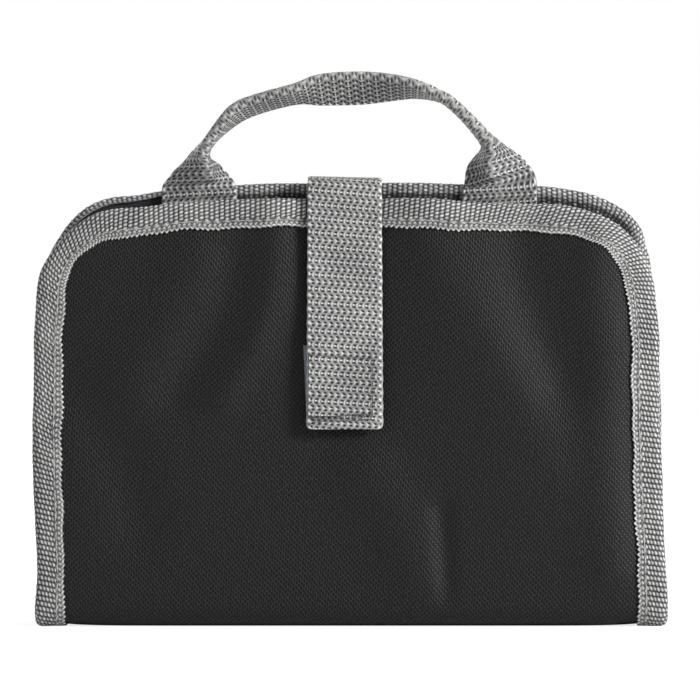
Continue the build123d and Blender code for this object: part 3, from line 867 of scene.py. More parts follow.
def strap_path():
    """The strap's middle line from its sewn foot at the rear over the top to its end, as (y, z)."""
    half_thick = WEBBING / 2
    rear_w, front_w = CORE + TAPE + half_thick, CORE + TAPE + LAY_GAP + half_thick
    far = CORE + 2 * PATCH + PATCH_SEAT + half_thick
    foot = REAR.v_at(STRAP_TOP_Z, CORE + TAPE) - ANCHOR_LENGTH
    tape_foot = REAR.height - TAPE_COVER
    on_rear = [(foot, CORE + half_thick + 0.6), (tape_foot - 2, CORE + half_thick + 0.5)]
    on_rear += [(tape_foot, rear_w), (REAR.v_at(175.8, rear_w), rear_w)]
    patch_top, end = FRONT.v_at(114.0, far), FRONT.v_at(STRAP_END_Z + 0.6, far)
    on_front = [(FRONT.v_at(175.0, front_w), front_w), (patch_top + 16, front_w + 0.6)]
    on_front += [(patch_top + 2, far), (end, far + 0.5)]
    points = [point_on(REAR, v, w) for v, w in on_rear]
    points += [(point_on(REAR, REAR.v_at(178.2, rear_w), rear_w)[0] - 2.0, 178.3)]
    points += [(point_on(FRONT, FRONT.v_at(178.0, front_w), front_w)[0] + 2.2, 177.9)]
    points += [point_on(FRONT, v, w) for v, w in on_front]
    return resample(np.array(points), 0.32, 1.7)


class BAG_OT_strap(bpy.types.Operator):
    """Closure strap in two pieces that bend at the top edges, its stitches, and the hook and loop patches"""

    bl_idname = "bag.strap"
    bl_label = "Closure strap"

    def execute(self, context):
        colours = context.scene.bag_colours
        # Polypropylene webbing: columns of pale ribbons round small dark holes, with a light sheen.
        look = (colours.yarn, colours.gap, (9.0, 2.2, 1.0), 1.75)
        material = spun_yarn("polypropylene_webbing", *look)
        path = strap_path()
        along = lengths(path)
        split = int(np.argmin(np.abs(path[:, 0]) + (path[:, 1] < 177) * 100))
        rear = self.band("strap_rear", path[: split + 1], along[: split + 1])
        front = self.band("strap_front", path[split:], along[split:])
        low, high = STRAP_BEND_HEIGHTS
        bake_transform(rear)
        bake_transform(front)
        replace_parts(rear, "strap_anchor", "strap_top")
        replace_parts(front, "strap_flap")
        for piece, length in ((rear, along[split]), (front, along[-1] - along[split])):
            finish(piece, material, "grey_webbing")
        self.sewing(path)
        self.patches()
        return {"FINISHED"}

    @staticmethod
    def frames(path):
        """Middles and directions out of the strap's face."""
        tangent = unit(np.gradient(path, axis=0))
        normal = np.stack([np.zeros(len(path)), tangent[:, 1], -tangent[:, 0]], -1)
        return np.stack([np.full(len(path), STRAP_X), path[:, 0], path[:, 1]], -1), normal

    def band(self, name, path, along):
        """A length of the webbing with its weave on both faces, a little uneven and tilted."""
        centres, normal = self.frames(path)
        across = np.tile((-1.0, 0, 0), (len(path), 1))
        across[:, 2] = 0.022 * smooth_step(path[:, 1], 120, 176)
        share = np.concatenate([np.linspace(-0.5, 0.5, 100), np.linspace(0.5, -0.5, 30)])
        face = np.repeat([1, -1], [100, 30])
        place = share * np.interp(path[:, 1], [80, 178], [30.6, 29.4])[:, None]
        weave = webbing_weave(-place, -along[:, None])
        depth = bpy.context.scene.bag_sizes.weave_depth / MM
        height = face * (WEBBING / 2 * rounded_edge(share, 0.475, 0.025) + depth * (weave - 0.6))
        loops = centres[:, None] + place[..., None] * across[:, None] + height[..., None] * normal[:, None]
        scallop = np.cos(2 * pi * along / WEAVE_REPEAT)[:, None] * smooth_step(np.abs(place), 12.6, 15)
        loops[..., 0] -= 0.12 * scallop * np.sign(place)
        if name == "strap_front":
            self.round_end(loops, place, along)
        relief = with_selvedge(weave, place, along[:, None])
        return tube_piece(name, loops, grid_uv(place, along), relief, flip=True)

    @staticmethod
    def round_end(loops, place, along):
        """Rounds the strap's two lower corners."""
        radius = 1.7
        near = np.clip(1 - (along[-1] - along) / radius, 0, 1)
        pull = radius * (1 - np.sqrt(1 - near**2))
        loops[..., 0] += np.sign(place) * pull[:, None] * smooth_step(np.abs(place), 11.5, 15)

    def sewing(self, path):
        """The box of stitches round the hook patch, the row at the end, and the sewn box at the rear."""
        # Polyester thread: dark grey and dull, in short rounded stitches.
        thread = plain_finish("grey_sewing_thread", linear("#505053"), 0.6, 4000, 0.0001)
        centres, normal = self.frames(path)
        face = centres + normal * (WEBBING / 2 + 0.2)

        def row(start, end):
            """Places and directions outwards along a straight row on the front, from (x, z) to (x, z)."""
            x, z = (low + (high - low) * np.linspace(0, 1, 24) for low, high in zip(start, end))
            index = np.argmin(np.abs(path[:, 1] - z[:, None]) + (path[:, 0] > 0) * 500, axis=1)
            return face[index] + (x - STRAP_X)[:, None] * (1, 0, 0), normal[index]

        front, rear = [], []
        box = [(-16.0, 108.6), (9.6, 107.0), (9.3, 84.6), (-16.4, 84.0), (-16.0, 108.6)]
        for start, end in zip(box, box[1:]):
            front += stitch_lines(*row(start, end), SEAM_STITCH)
        for offset in (0.0, -0.9, 0.8):
            points, out = row((-15.2, 82.8 + offset), (9.6, 84.2 + offset * 1.4))
            points[:, 2] += 0.25 * np.sin(np.arange(len(points)) * 1.9 + offset * 3)
            front += stitch_lines(points, out, 2.2)
        low, high, side = 8, 100, 12.0
        for x in (-side, side):
            rear += stitch_lines(face[low:high] + (x, 0, 0), normal[low:high], SEAM_STITCH)
        for index in (low, (low + high) // 2, high):
            cross = face[index] + np.outer(np.linspace(-side, side, 20), (1, 0, 0))
            rear += stitch_lines(cross, np.tile(normal[index], (20, 1)), SEAM_STITCH)
        finish(thread_piece("strap_thread", front, 0.2), thread, "grey_webbing", "strap_end")
        finish(thread_piece("strap_rear_thread", rear, 0.2), thread, "grey_webbing", "rear_cover")

    def patches(self):
        """The napped loop patch on the cloth and the hook patch under the strap's end."""
        # Brushed nylon loops: a soft blue-grey nap with dark hollows, and no gloss.
        colour = bpy.context.scene.bag_colours.loops
        nap = plain_finish("brushed_nylon_loops", colour, 0.95, 1100, 0.0008, shade=0.35)
        # Moulded nylon hooks: mid grey, a little glossy, so that each hook shows.
        hooks = plain_finish("moulded_nylon_hooks", linear("#8d8d90"), 0.5, 1200, 0.0001)
        loop_v, hook_v = FRONT.v_at(80.8, CORE), FRONT.v_at(83.8, CORE)
        size, middle = (30.0, 31.5), (-3.2, loop_v + 15.75)
        piece = self.pad("loop_patch_pile", middle, size, CORE + 0.55, PATCH - 0.35, 0.35, 0.044)
        finish(piece, nap, "grey_loop_tape", "front_cover")
        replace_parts(piece, "loop_patch")
        far = CORE + 2 * PATCH + PATCH_SEAT
        size, middle = (26.0, 26.0), (STRAP_X, hook_v + 13)
        piece = self.pad("hook_patch_base", middle, size, far - 0.55, 0.6, 0.03)
        finish(piece, hooks, "grey_hook_tape", "strap_end")
        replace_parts(piece, "hook_patch")
        # One hook, drawn from its foot to its bent tip: shift up the patch and level.
        shift, level = np.array([0, 0, 0.22, 0.45]), far - np.array([0.5, 0.95, 1.12, 0.98])
        lines = []
        for i in range(16):
            for j in range(16):
                v = hook_v + 1 + j * 1.6 + shift * (1 if i % 2 else -1)
                lines.append(FRONT.place(STRAP_X - 12 + i * 1.6, FRONT.t_of(v), level, soft=False))
        piece = thread_piece("hook_patch_hooks", lines, 0.13, sides=4)
        finish(piece, hooks, "grey_hook_tape", "strap_end")

    @staticmethod
    def pad(name, middle, size, low, thick, rough, slant=0.0):
        """A flat patch with soft edges on the front half, its foot moved to +X by slant of its height."""
        rng = np.random.default_rng(7)
        x, y = (np.linspace(-1, 1, int(length / 0.6)) for length in size)
        x, y = np.meshgrid(x, y)
        u, v = middle[0] + size[0] / 2 * x, middle[1] + size[1] / 2 * y
        u = u + slant * (middle[1] + size[1] / 2 - v)
        edge = np.minimum(1 - np.abs(x), 1 - np.abs(y))
        crown = np.sqrt(np.clip(edge / 0.05, 0.02, 1))
        top = low + thick * crown + rough * rng.uniform(-0.5, 0.5, u.shape) * (edge > 0.01)
        faces = [FRONT.place(u, FRONT.t_of(v), w, soft=False) for w in (top, low - 0.1)]
        return closed_sheet(name, *faces)


# The handle from its left foot to its right: x, z, half the opening of the folded webbing and
# its roll from facing the viewer, both in degrees.
HANDLE = (
    (-59.8, 168.0, 90, 90), (-59.8, 173.4, 90, 90), (-59.7, 176.8, 66, 90), (-59.7, 180.3, 45, 90),
    (-59.6, 183.4, 29, 90), (-59.6, 186.3, 14, 90), (-58.6, 189.2, 5, 90), (-56.4, 192.6, 2, 89),
    (-52.6, 197.4, 2, 84), (-44.8, 204.8, 2, 71), (-35.2, 208.7, 2, 71), (-20.8, 212.4, 2, 68),
    (-11.2, 213.8, 2, 44), (4.0, 214.4, 2, 38), (17.6, 214.8, 2, 57), (27.2, 214.1, 2, 74),
    (36.8, 211.2, 2, 88), (41.6, 207.9, 2, 90), (46.4, 203.4, 2, 90), (50.3, 199.3, 3, 90),
    (54.2, 194.7, 4, 90), (56.2, 192.2, 8, 90), (57.2, 189.4, 20, 90), (58.2, 184.6, 47, 90),
    (59.2, 180.2, 60, 90), (60.2, 176.2, 82, 90), (60.2, 173.2, 90, 90), (60.2, 168.0, 90, 90),
)


def folded_section(opening, across):
    """Places and normals across webbing folded about its middle: (sideways, towards the fold)."""
    bend = 1.9
    lean = radians(90 - opening)
    turn = lean * np.clip(across / bend, -1, 1)
    step = across[1] - across[0]
    x = np.concatenate([[0], np.cumsum(np.cos((turn[1:] + turn[:-1]) / 2) * step)])
    y = np.concatenate([[0], np.cumsum(-np.sin((turn[1:] + turn[:-1]) / 2) * step)])
    x -= np.interp(0, across, x)
    y -= np.interp(0, across, y)
    return np.stack([x, y], -1), np.stack([np.sin(turn), np.cos(turn)], -1)


def fold_jut(point, across):
    """How the fold juts out over the flat foot below it, across the webbing: (to the arch, to the viewer)."""
    foot, lean = (176.3, 3.4) if point[0] < 0 else (177.6, 2.6)
    rise = smooth_step(point[2], foot, foot + 2.4) * (1 - smooth_step(point[2], foot + 5, foot + 15))
    share = rise * np.exp(-((across / 6.5) ** 2))
    return np.stack([-lean * share, 3.8 * share], -1)


class BAG_OT_handle(bpy.types.Operator):
    """Carry handle: one length of webbing, flat at its sewn feet and folded lengthwise along its arch"""

    bl_idname = "bag.handle"
    bl_label = "Carry handle"

    def execute(self, context):
        colours = context.scene.bag_colours
        # Polypropylene webbing again, its tone taken to a higher power than the strap's: painted shade that
        # deepens its gaps for how the light falls on the handle.
        look = (colours.yarn, colours.gap, (9.0, 2.2, 1.0), 2.25)
        material = spun_yarn("folded_polypropylene_webbing", *look)
        depth = context.scene.bag_sizes.weave_depth / MM
        rows = self.stations()
        path = rows[:, :3]
        along = lengths(path)
        tangent = unit(np.gradient(path, axis=0))
        columns = 84
        across = np.linspace(-0.5, 0.5, columns) * WEBBING_WIDTH
        back = np.linspace(0, columns - 1, 25).round().astype(int)[::-1]
        places = np.concatenate([across, across[back]])
        weave = webbing_weave(across[None, :], along[:, None])
        closed = 0.4 * np.exp(-((across / 1.7) ** 2))[None, :]
        weave = with_selvedge(weave * (1 - closed) + 0.72 * closed, across[None, :], along[:, None])
        skin = WEBBING / 2 * rounded_edge(across, 14.2, 0.8)
        loops = np.empty((len(rows), len(places), 3))
        for index, (*_, opening, roll) in enumerate(rows):
            direction = tangent[index]
            outward = unit(np.array([-direction[2], 0, direction[0]]))
            to_fold = outward * cos(radians(roll)) + np.array([0, -1, 0]) * sin(radians(roll))
            to_fold = unit(to_fold - direction * (to_fold @ direction))
            sideways = np.cross(to_fold, direction)
            place, normal = folded_section(opening, across)
            high = place + normal * (skin + depth * (weave[index] - 0.6))[:, None]
            low = (place - normal * skin[:, None])[back]
            flat = np.concatenate([high, low]) + fold_jut(path[index], places)
            middle = path[index] + to_fold * (WEBBING_WIDTH / 4) * (1 - sin(radians(opening)))
            loops[index] = middle + flat[:, :1] * sideways + flat[:, 1:] * to_fold
        relief = np.concatenate([weave, weave[:, back]], axis=1)
        piece = tube_piece("handle_webbing", loops, grid_uv(places, along), relief, flip=True)
        finish(piece, material, "grey_webbing")
        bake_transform(piece)
        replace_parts(piece, "carry_handle", "handle_tabs")
        self.sewing()
        return {"FINISHED"}

    @staticmethod
    def stations():
        """Rows of x, y, z, opening and roll along the handle, evenly spaced, with the sewn feet added."""
        arch = []
        for x, z, opening, roll in through(HANDLE):
            y = 1.0 if z > 176 else point_on(REAR, REAR.v_at(z, 0), -TAPE - WEBBING / 2 - 0.2)[0]
            arch.append((x, y, z, np.clip(opening, 2, 90), roll))

        def foot(x):
            low = [(REAR.v_at(132.0, 0), -WEBBING / 2 - 0.2), (REAR.v_at(158.0, 0), -WEBBING / 2 - 0.4)]
            low += [(REAR.v_at(163.0, 0), -TAPE - WEBBING / 2 - 0.3)]
            return [(x, *point_on(REAR, v, w), 90, 90) for v, w in low]

        rows = foot(HANDLE[0][0]) + arch + foot(HANDLE[-1][0])[::-1]
        return resample(np.array(rows, float), 0.36, 1.2)

    @staticmethod
    def sewing():
        """A sewn box on each of the handle's feet, inside the bag."""
        # Polyester thread: near black and dull, in short rounded stitches.
        thread = plain_finish("black_sewing_thread", linear("#2a2a2c"), 0.6, 4000, 0.0001)
        corners = [(-12, 136), (12, 136), (12, 158), (-12, 158), (-12, 136), (12, 158)]
        share = np.linspace(0, 1, 24)
        lines = []
        for x in (-59.0, 60.2):
            for (x0, z0), (x1, z1) in zip(corners, corners[1:]):
                v = REAR.v_at(z0 + (z1 - z0) * share, 0)
                u = x + x0 + (x1 - x0) * share
                points = REAR.place(u, REAR.t_of(v), -WEBBING - 0.55, soft=False)
                lines += stitch_lines(points, np.tile(-REAR.normal, (24, 1)), SEAM_STITCH)
        finish(thread_piece("handle_thread", lines, 0.2), thread, "grey_webbing", "rear_cover")


class Pocket:
    """A flat pocket on a half's lining. along runs from its zip's middle to its seam, depth into the bag."""

    top_depth = ZIP_LIFT + ZIP_TAPE + COIL

    def __init__(self, half, away, length):
        self.half, self.away, self.length = half, away, length
        self.zip = half.zip_v
        side = -POCKET_SIDE + np.array([0, 0.4, 1, 1.8, 2.8, 4, 5.4])
        self.across = np.concatenate([side, np.linspace(-105, 105, 106), -side[::-1]])

    def at(self, u, along, depth):
        """World points of a soft piece, which follows the lining."""
        v = self.zip + self.away * np.asarray(along, float)
        return self.half.place(u, self.half.t_of(v), -np.asarray(depth, float), inner=True)

    def rigid(self, u, v, depth):
        """World point in metres of a hard piece, v above the zip's middle."""
        point = self.half.place(u, self.half.t_of(self.zip + v), -depth, soft=False)
        return tuple(float(c) * MM for c in point)

    def rise(self, u):
        """Share of the zip's height above the lining, which falls to nothing at the pocket's sides."""
        return np.sqrt(np.clip(1 - np.clip((np.abs(u) - POCKET_SIDE + 5.4) / 5.4, 0, 1) ** 2, 0, 1))

    def layer(self, name, along, low, high, relief=None, across=None):
        """A sheet across the pocket between two depths, which follow from the places (u, along)."""
        u, s = np.meshgrid(self.across if across is None else across, along)
        uv = np.stack([u, s * self.away], -1).reshape(-1, 2)
        grid = None if relief is None else relief(u, s).ravel()
        return closed_sheet(name, self.at(u, s, high(u, s)), self.at(u, s, low(u, s)), uv, grid)

    def cloth(self):
        """The pocket's face, puffed a little between its seams."""
        seam = self.length - POCKET_SEAM
        ramp = seam - POCKET_RAMP

        def low(u, s):
            end = 1 - smooth_step(s, ramp, seam)
            side = self.rise(u)
            by_zip = 1 - smooth_step(s, ZIP_TAPE_WIDTH, ZIP_TAPE_WIDTH + 3)
            inside = np.clip(np.minimum(POCKET_SIDE - 4 - np.abs(u), np.minimum(s - 14, ramp - s)), 0, None)
            puff = 0.7 * (1 - np.exp(-inside / 14)) * (1 + 0.5 * np.sin(u / 23 + s / 31) * np.sin(s / 17 + 1))
            return ZIP_LIFT * side * end + ZIP_TAPE * end * (side + (1 - side) * by_zip) + puff

        spans = ((ZIP_TAPE_WIDTH / 2, ramp, 32), (ramp, seam, 12), (seam, self.length, 5))
        along = np.unique(np.concatenate([np.linspace(*span) for span in spans]))
        high = lambda u, s: low(u, s) + POCKET_FABRIC
        return self.layer(f"{self.half.name}_pocket_cloth", along, low, high)

    def hem(self):
        """Ribbed tape sewn over the pocket's seam."""
        seam = self.length - POCKET_SEAM
        low = lambda u, s: POCKET_FABRIC * (1 - smooth_step(s, self.length - 0.2, self.length + 1))
        tone = lambda u, s: tape_weave(s - seam + 0.4, u, 0.1)
        high = lambda u, s: low(u, s) + HEM * (0.8 + 0.3 * (tone(u, s) - 0.4))
        along = np.linspace(seam, seam + HEM_WIDTH, 31)
        across = np.linspace(-POCKET_SIDE, POCKET_SIDE, 560)
        return self.layer(f"{self.half.name}_pocket_hem_tape", along, low, high, tone, across)

    def tapes(self):
        """The zip's two woven tapes: one under the pocket's edge, one stepped down to the lining."""
        bend, end = ZIP_TAPE_WIDTH - ZIP_SEAM, ZIP_TAPE_WIDTH + ZIP_LIFT
        near = COIL_SPLIT / 2
        ribs = lambda u, s: 0.55 + 0.45 * np.cos(2 * pi * s / 1.1)
        under = lambda u, s: ZIP_LIFT * self.rise(u)
        stepped = lambda u, s: ZIP_LIFT * self.rise(u) * (1 - smooth_step(-s, bend, bend + ZIP_LIFT))
        pieces = []
        for side, low, along in (
            ("pocket", under, np.linspace(near, ZIP_TAPE_WIDTH, 42)),
            ("lining", stepped, np.linspace(-end, -near, 46)),
        ):
            high = lambda u, s: low(u, s) + ZIP_TAPE * (0.9 + 0.1 * ribs(u, s))
            pieces.append(self.layer(f"{self.half.name}_zip_tape_{side}_side", along, low, high, ribs))
        return pieces

    def thread(self):
        """Rows of stitches round the pocket and along both zip tapes."""
        seam, end = self.length - POCKET_SEAM, POCKET_SIDE - 1.4
        wide, down = np.linspace(-end, end, 300), np.linspace(9, seam - POCKET_RAMP - 2, 90)
        side_depth = (ZIP_LIFT + ZIP_TAPE) * self.rise(end) + POCKET_FABRIC + 0.12
        rows = [
            (wide, seam + 1.6, POCKET_FABRIC + HEM + 0.05),
            (wide, seam + HEM_WIDTH - 1.3, HEM + 0.05),
            (wide, 8.0, ZIP_LIFT * self.rise(wide) + ZIP_TAPE + POCKET_FABRIC + 0.05),
            (wide, -11.4, ZIP_TAPE + 0.05),
            (-end, down, side_depth),
            (end, down, side_depth),
        ]
        lines = []
        for u, along, depth in rows:
            points = self.at(u, along, depth)
            lines += stitch_lines(points, unit(self.at(u, along, depth + 1) - points), SEAM_STITCH)
        return thread_piece(f"{self.half.name}_pocket_thread", lines, 0.17, sides=4)


POCKETS = (Pocket(REAR, -1, 88.0), Pocket(FRONT, 1, 92.0))


class BAG_OT_pockets(bpy.types.Operator):
    """Zipped inside pocket of each half: its cloth, its hem tape, the zip's tapes and the stitches"""

    bl_idname = "bag.pockets"
    bl_label = "Inside pockets"

    def execute(self, context):
        colours = context.scene.bag_colours
        # Coated nylon again, a shade lighter, and drawn at 0.6 mm, coarser than it is.
        cloth = oxford_cloth("coated_nylon_pocket", colours.lining, linear("#3a3a40"), 0.6)
        # Ribbed polyester tape, as on the edges.
        hem = spun_yarn("ribbed_hem_tape", colours.yarn, colours.gap, (2.0, 7.0, 1.0), 1.35)
        # Woven polyester zip tape: near black, with fine dull cords along it.
        look = (linear("#2b2b2e"), linear("#0c0c0d"), (1.5, 9.0, 1.0), 1.0)
        woven = spun_yarn("woven_zip_tape", *look)
        # Polyester thread: near black and dull, so that only its shape shows.
        thread = plain_finish("black_pocket_thread", linear("#2c2c2f"), 0.6, 4000, 0.0001)
        for pocket in POCKETS:
            name, body = pocket.half.name, pocket.half.body
            face = finish(pocket.cloth(), cloth, "black_lining", body)
            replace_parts(face, f"{name}_pocket")
            band = finish(pocket.hem(), hem, "grey_binding_tape", body)
            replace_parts(band, f"{name}_pocket_hem")
            sewn = finish(pocket.thread(), thread, "black_lining", body)
            for piece, node in zip(pocket.tapes(), ("zip_pocket_tape", "zip_lining_tape")):
                finish(piece, woven, "black_zip_tape", body)
                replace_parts(piece, f"{name}_{node}")
        return {"FINISHED"}


def only(piece):
    """Makes a piece the one that is selected and active."""
    bpy.ops.object.select_all(action="DESELECT")
    piece.select_set(True)
    bpy.context.view_layer.objects.active = piece


def new_solid(name, half, kind, place, scale, **settings):
    """A primitive turned into a half's plane, at its place and size in metres."""
    bpy.ops.object.select_all(action="DESELECT")
    add = getattr(bpy.ops.mesh, f"primitive_{kind}_add")
    add(location=place, rotation=(-half.out * LEAN, 0, 0), **settings)
    piece = bpy.context.object
    piece.name = name
    piece.scale = scale
    bpy.ops.object.transform_apply(location=False, rotation=False, scale=True)
    return piece


def box_solid(name, half, place, size):
    """A box of size (across, up the half, into the bag) in millimetres."""
    across, up, deep = (c * MM for c in size)
    return new_solid(name, half, "cube", place, (across, deep, up), size=1)


def apply_modifier(piece, kind, **settings):
    """Adds a modifier with its settings and bakes it into the mesh."""
    only(piece)
    modifier = piece.modifiers.new("step", kind)
    for key, value in settings.items():
        setattr(modifier, key, value)
    bpy.ops.object.modifier_apply(modifier=modifier.name)


def select_parts(piece, kind, wanted):
    """Opens a piece in edit mode with only the edges or faces selected that the test wants."""
    only(piece)
    bpy.ops.object.mode_set(mode="EDIT")
    bpy.ops.mesh.select_mode(type="EDGE" if kind == "edges" else "FACE")
    bpy.ops.mesh.select_all(action="DESELECT")
    shape = bmesh.from_edit_mesh(piece.data)
    for part in getattr(shape, kind):
        if wanted(part):
            part.select_set(True)
    bmesh.update_edit_mesh(piece.data)


def repeat(piece, count, pitch):
    """Repeats a piece along +X, a pitch in metres apart."""
    apply_modifier(
        piece,
        "ARRAY",
        count=count,
        use_relative_offset=False,
        use_constant_offset=True,
        constant_offset_displace=(pitch, 0, 0),
    )


def round_corners(plate, wanted, width, segments):
    """Rounds the wanted edges of a plate."""
    select_parts(plate, "edges", wanted)
    bpy.ops.mesh.bevel(offset=width * MM, segments=segments)
    bpy.ops.object.mode_set(mode="OBJECT")


def across_plate(edge):
    """Whether an edge of an unturned plate runs through its thickness."""
    start, end = (v.co for v in edge.verts)
    return abs(start.x - end.x) + abs(start.z - end.z) < 1e-6


def join_shapes(piece, others, operation="UNION"):
    """Adds other solids to a piece, or cuts them from it, and deletes them."""
    for other in others:
        apply_modifier(piece, "BOOLEAN", object=other, operation=operation, solver="EXACT")
        bpy.data.objects.remove(other)
    return piece


def settle(piece, bevel):
    """Rounds the sharp edges and moves the piece's place into its mesh."""
    sharp = {"limit_method": "ANGLE", "angle_limit": radians(40)}
    apply_modifier(piece, "BEVEL", width=bevel * MM, segments=2, **sharp)
    only(piece)
    bpy.ops.object.transform_apply(location=True, rotation=True, scale=True)
    bpy.ops.object.shade_smooth_by_angle(angle=radians(35))
    return piece


class BAG_OT_zips(bpy.types.Operator):
    """Teeth, end stops, slider and pull of each zip"""

    bl_idname = "bag.zips"
    bl_label = "Zips"

    def execute(self, context):
        colours = context.scene.bag_colours
        # Moulded nylon: black with a satin sheen that outlines each tooth.
        nylon = plain_finish("moulded_black_nylon", linear("#1b1b1d"), 0.38, 900, 0.00005)
        # Enamelled zinc: black and smooth, with the sharper highlights of its clear coat.
        enamel = plain_finish("black_enamelled_zinc", colours.metal, 0.32, 1500, 0.00003, coat=0.5)
        for pocket in POCKETS:
            name, body = pocket.half.name, pocket.half.body
            for make, material, slot, rider, node in (
                (self.teeth, nylon, "black_nylon", body, "coils"),
                (self.stops, nylon, "black_nylon", body, "stops"),
                (self.slider, enamel, "black_enamel", f"{name}_slider", "slider"),
                (self.pull, enamel, "black_enamel", f"{name}_pull", "pull"),
            ):
                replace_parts(finish(make(pocket), material, slot, rider), f"{name}_zip_{node}")
        return {"FINISHED"}

    @staticmethod
    def teeth(pocket):
        """One moulded tooth with a wider head, repeated along both tapes, half a step apart."""
        half = pocket.half
        count = int(2 * (STOP_X - 1.2) / COIL_PITCH)
        near = 0.5
        length = COIL_SPLIT / 2 + COIL_WIDTH - near
        rows = []
        for side in (-1, 1):
            first = -STOP_X + 1.0 + (side > 0) * COIL_PITCH / 2
            place = pocket.rigid(first, side * (near + length / 2), ZIP_LIFT + ZIP_TAPE + COIL / 2)
            foot, head = (0.72, 1.0) if side < 0 else (1.0, 0.72)
            shape = dict(vertices=8, radius1=foot, radius2=head, depth=length * MM)
            scale = (0.44 * MM, COIL / 2 * MM, 1)
            tooth = new_solid(f"{half.name}_teeth", half, "cone", place, scale, **shape)
            select_parts(tooth, "faces", lambda face: face.normal.z * -side > 0.9)
            bpy.ops.mesh.inset(thickness=0.14 * MM, depth=0.16 * MM)
            bpy.ops.object.mode_set(mode="OBJECT")
            repeat(tooth, count, COIL_PITCH * MM)
            rows.append(tooth)
        only(rows[0])
        rows[1].select_set(True)
        bpy.ops.object.join()
        bpy.ops.object.transform_apply(location=True, rotation=True, scale=True)
        bpy.ops.object.shade_smooth_by_angle(angle=radians(50))
        rows[0].name = f"{half.name}_zip_teeth"
        return rows[0]

    @staticmethod
    def stops(pocket):
        """A rounded stop across both coils at each end."""
        size = (STOP_LENGTH, COIL_SPLIT + 2 * COIL_WIDTH, COIL)
        place = pocket.rigid(-STOP_X - STOP_LENGTH / 2, 0, ZIP_LIFT + ZIP_TAPE + COIL / 2)
        stop = box_solid(f"{pocket.half.name}_zip_end_stops", pocket.half, place, size)
        repeat(stop, 2, (2 * STOP_X + STOP_LENGTH) * MM)
        return settle(stop, 0.4)

    @staticmethod
    def slider(pocket):
        """Two tapered plates joined by a post, side walls over the coils, and a stud for the pull."""
        half = pocket.half
        low = ZIP_LIFT - ZIP_CLEARANCE - SLIDER_PLATE / 2
        high = pocket.top_depth + ZIP_CLEARANCE + SLIDER_PLATE / 2
        parts = []
        for depth in (high, low):
            size = (SLIDER_LENGTH, SLIDER_WIDTH, SLIDER_PLATE)
            plate = box_solid("plate", half, pocket.rigid(SLIDER_X, 0, depth), size)
            round_corners(plate, lambda edge: across_plate(edge) and edge.verts[0].co.x < 0, 2.6, 5)
            parts.append(plate)
        place, size = pocket.rigid(SLIDER_X, 0, (low + high) / 2), (SLIDER_LENGTH / 3, 0.8, high - low)
        parts.append(box_solid("post", half, place, size))
        wall = high - (ZIP_LIFT + ZIP_TAPE + 0.35)
        for side in (-1, 1):
            place = pocket.rigid(SLIDER_X + 1.2, side * (SLIDER_WIDTH / 2 - 0.4), high - wall / 2)
            parts.append(box_solid("wall", half, place, (SLIDER_LENGTH - 4.4, 0.8, wall)))
        pull_out = high + SLIDER_PLATE / 2 + ZIP_CLEARANCE + PULL
        head_out = pull_out + ZIP_CLEARANCE + PULL / 2
        for radius, inner in ((STUD, high), (STUD_HEAD, pull_out + ZIP_CLEARANCE)):
            place = pocket.rigid(SLIDER_X, 0, (inner + head_out) / 2)
            parts.append(stud_solid(half, place, radius, head_out - inner))
        body = join_shapes(parts[0], parts[1:])
        body.name = f"{half.name}_zip_slider_body"
        return settle(body, 0.22)

    @staticmethod
    def pull(pocket):
        """A flat tab with round ends, an eye for the stud and a sunk grip panel."""
        half = pocket.half
        inner = pocket.top_depth + 2 * ZIP_CLEARANCE + SLIDER_PLATE
        depth = inner + PULL / 2
        centre = (PULL_WIDTH - PULL_LENGTH) / 2
        size = (PULL_WIDTH, PULL_LENGTH, PULL)
        tab = box_solid("tab", half, pocket.rigid(SLIDER_X, centre, depth), size)
        round_corners(tab, across_plate, PULL_WIDTH * 0.45, 7)
        cuts = [stud_solid(half, pocket.rigid(SLIDER_X, 0, depth), PULL_EYE, PULL * 3)]
        for level in (inner, inner + PULL):
            place = pocket.rigid(SLIDER_X, centre - 2.6, level)
            cuts.append(box_solid("grip", half, place, (PULL_WIDTH - 2.4, 7.5, 0.5)))
        join_shapes(tab, cuts, "DIFFERENCE")
        tab.name = f"{half.name}_zip_pull_tab"
        return settle(tab, 0.16)


def stud_solid(half, place, radius, depth):
    """A round pin that stands into the bag, square to a half's plane."""
    bpy.ops.object.select_all(action="DESELECT")
    turn = (radians(90) - half.out * LEAN, 0, 0)
    size = {"vertices": 28, "radius": radius * MM, "depth": depth * MM}
    bpy.ops.mesh.primitive_cylinder_add(location=place, rotation=turn, **size)
    return bpy.context.object


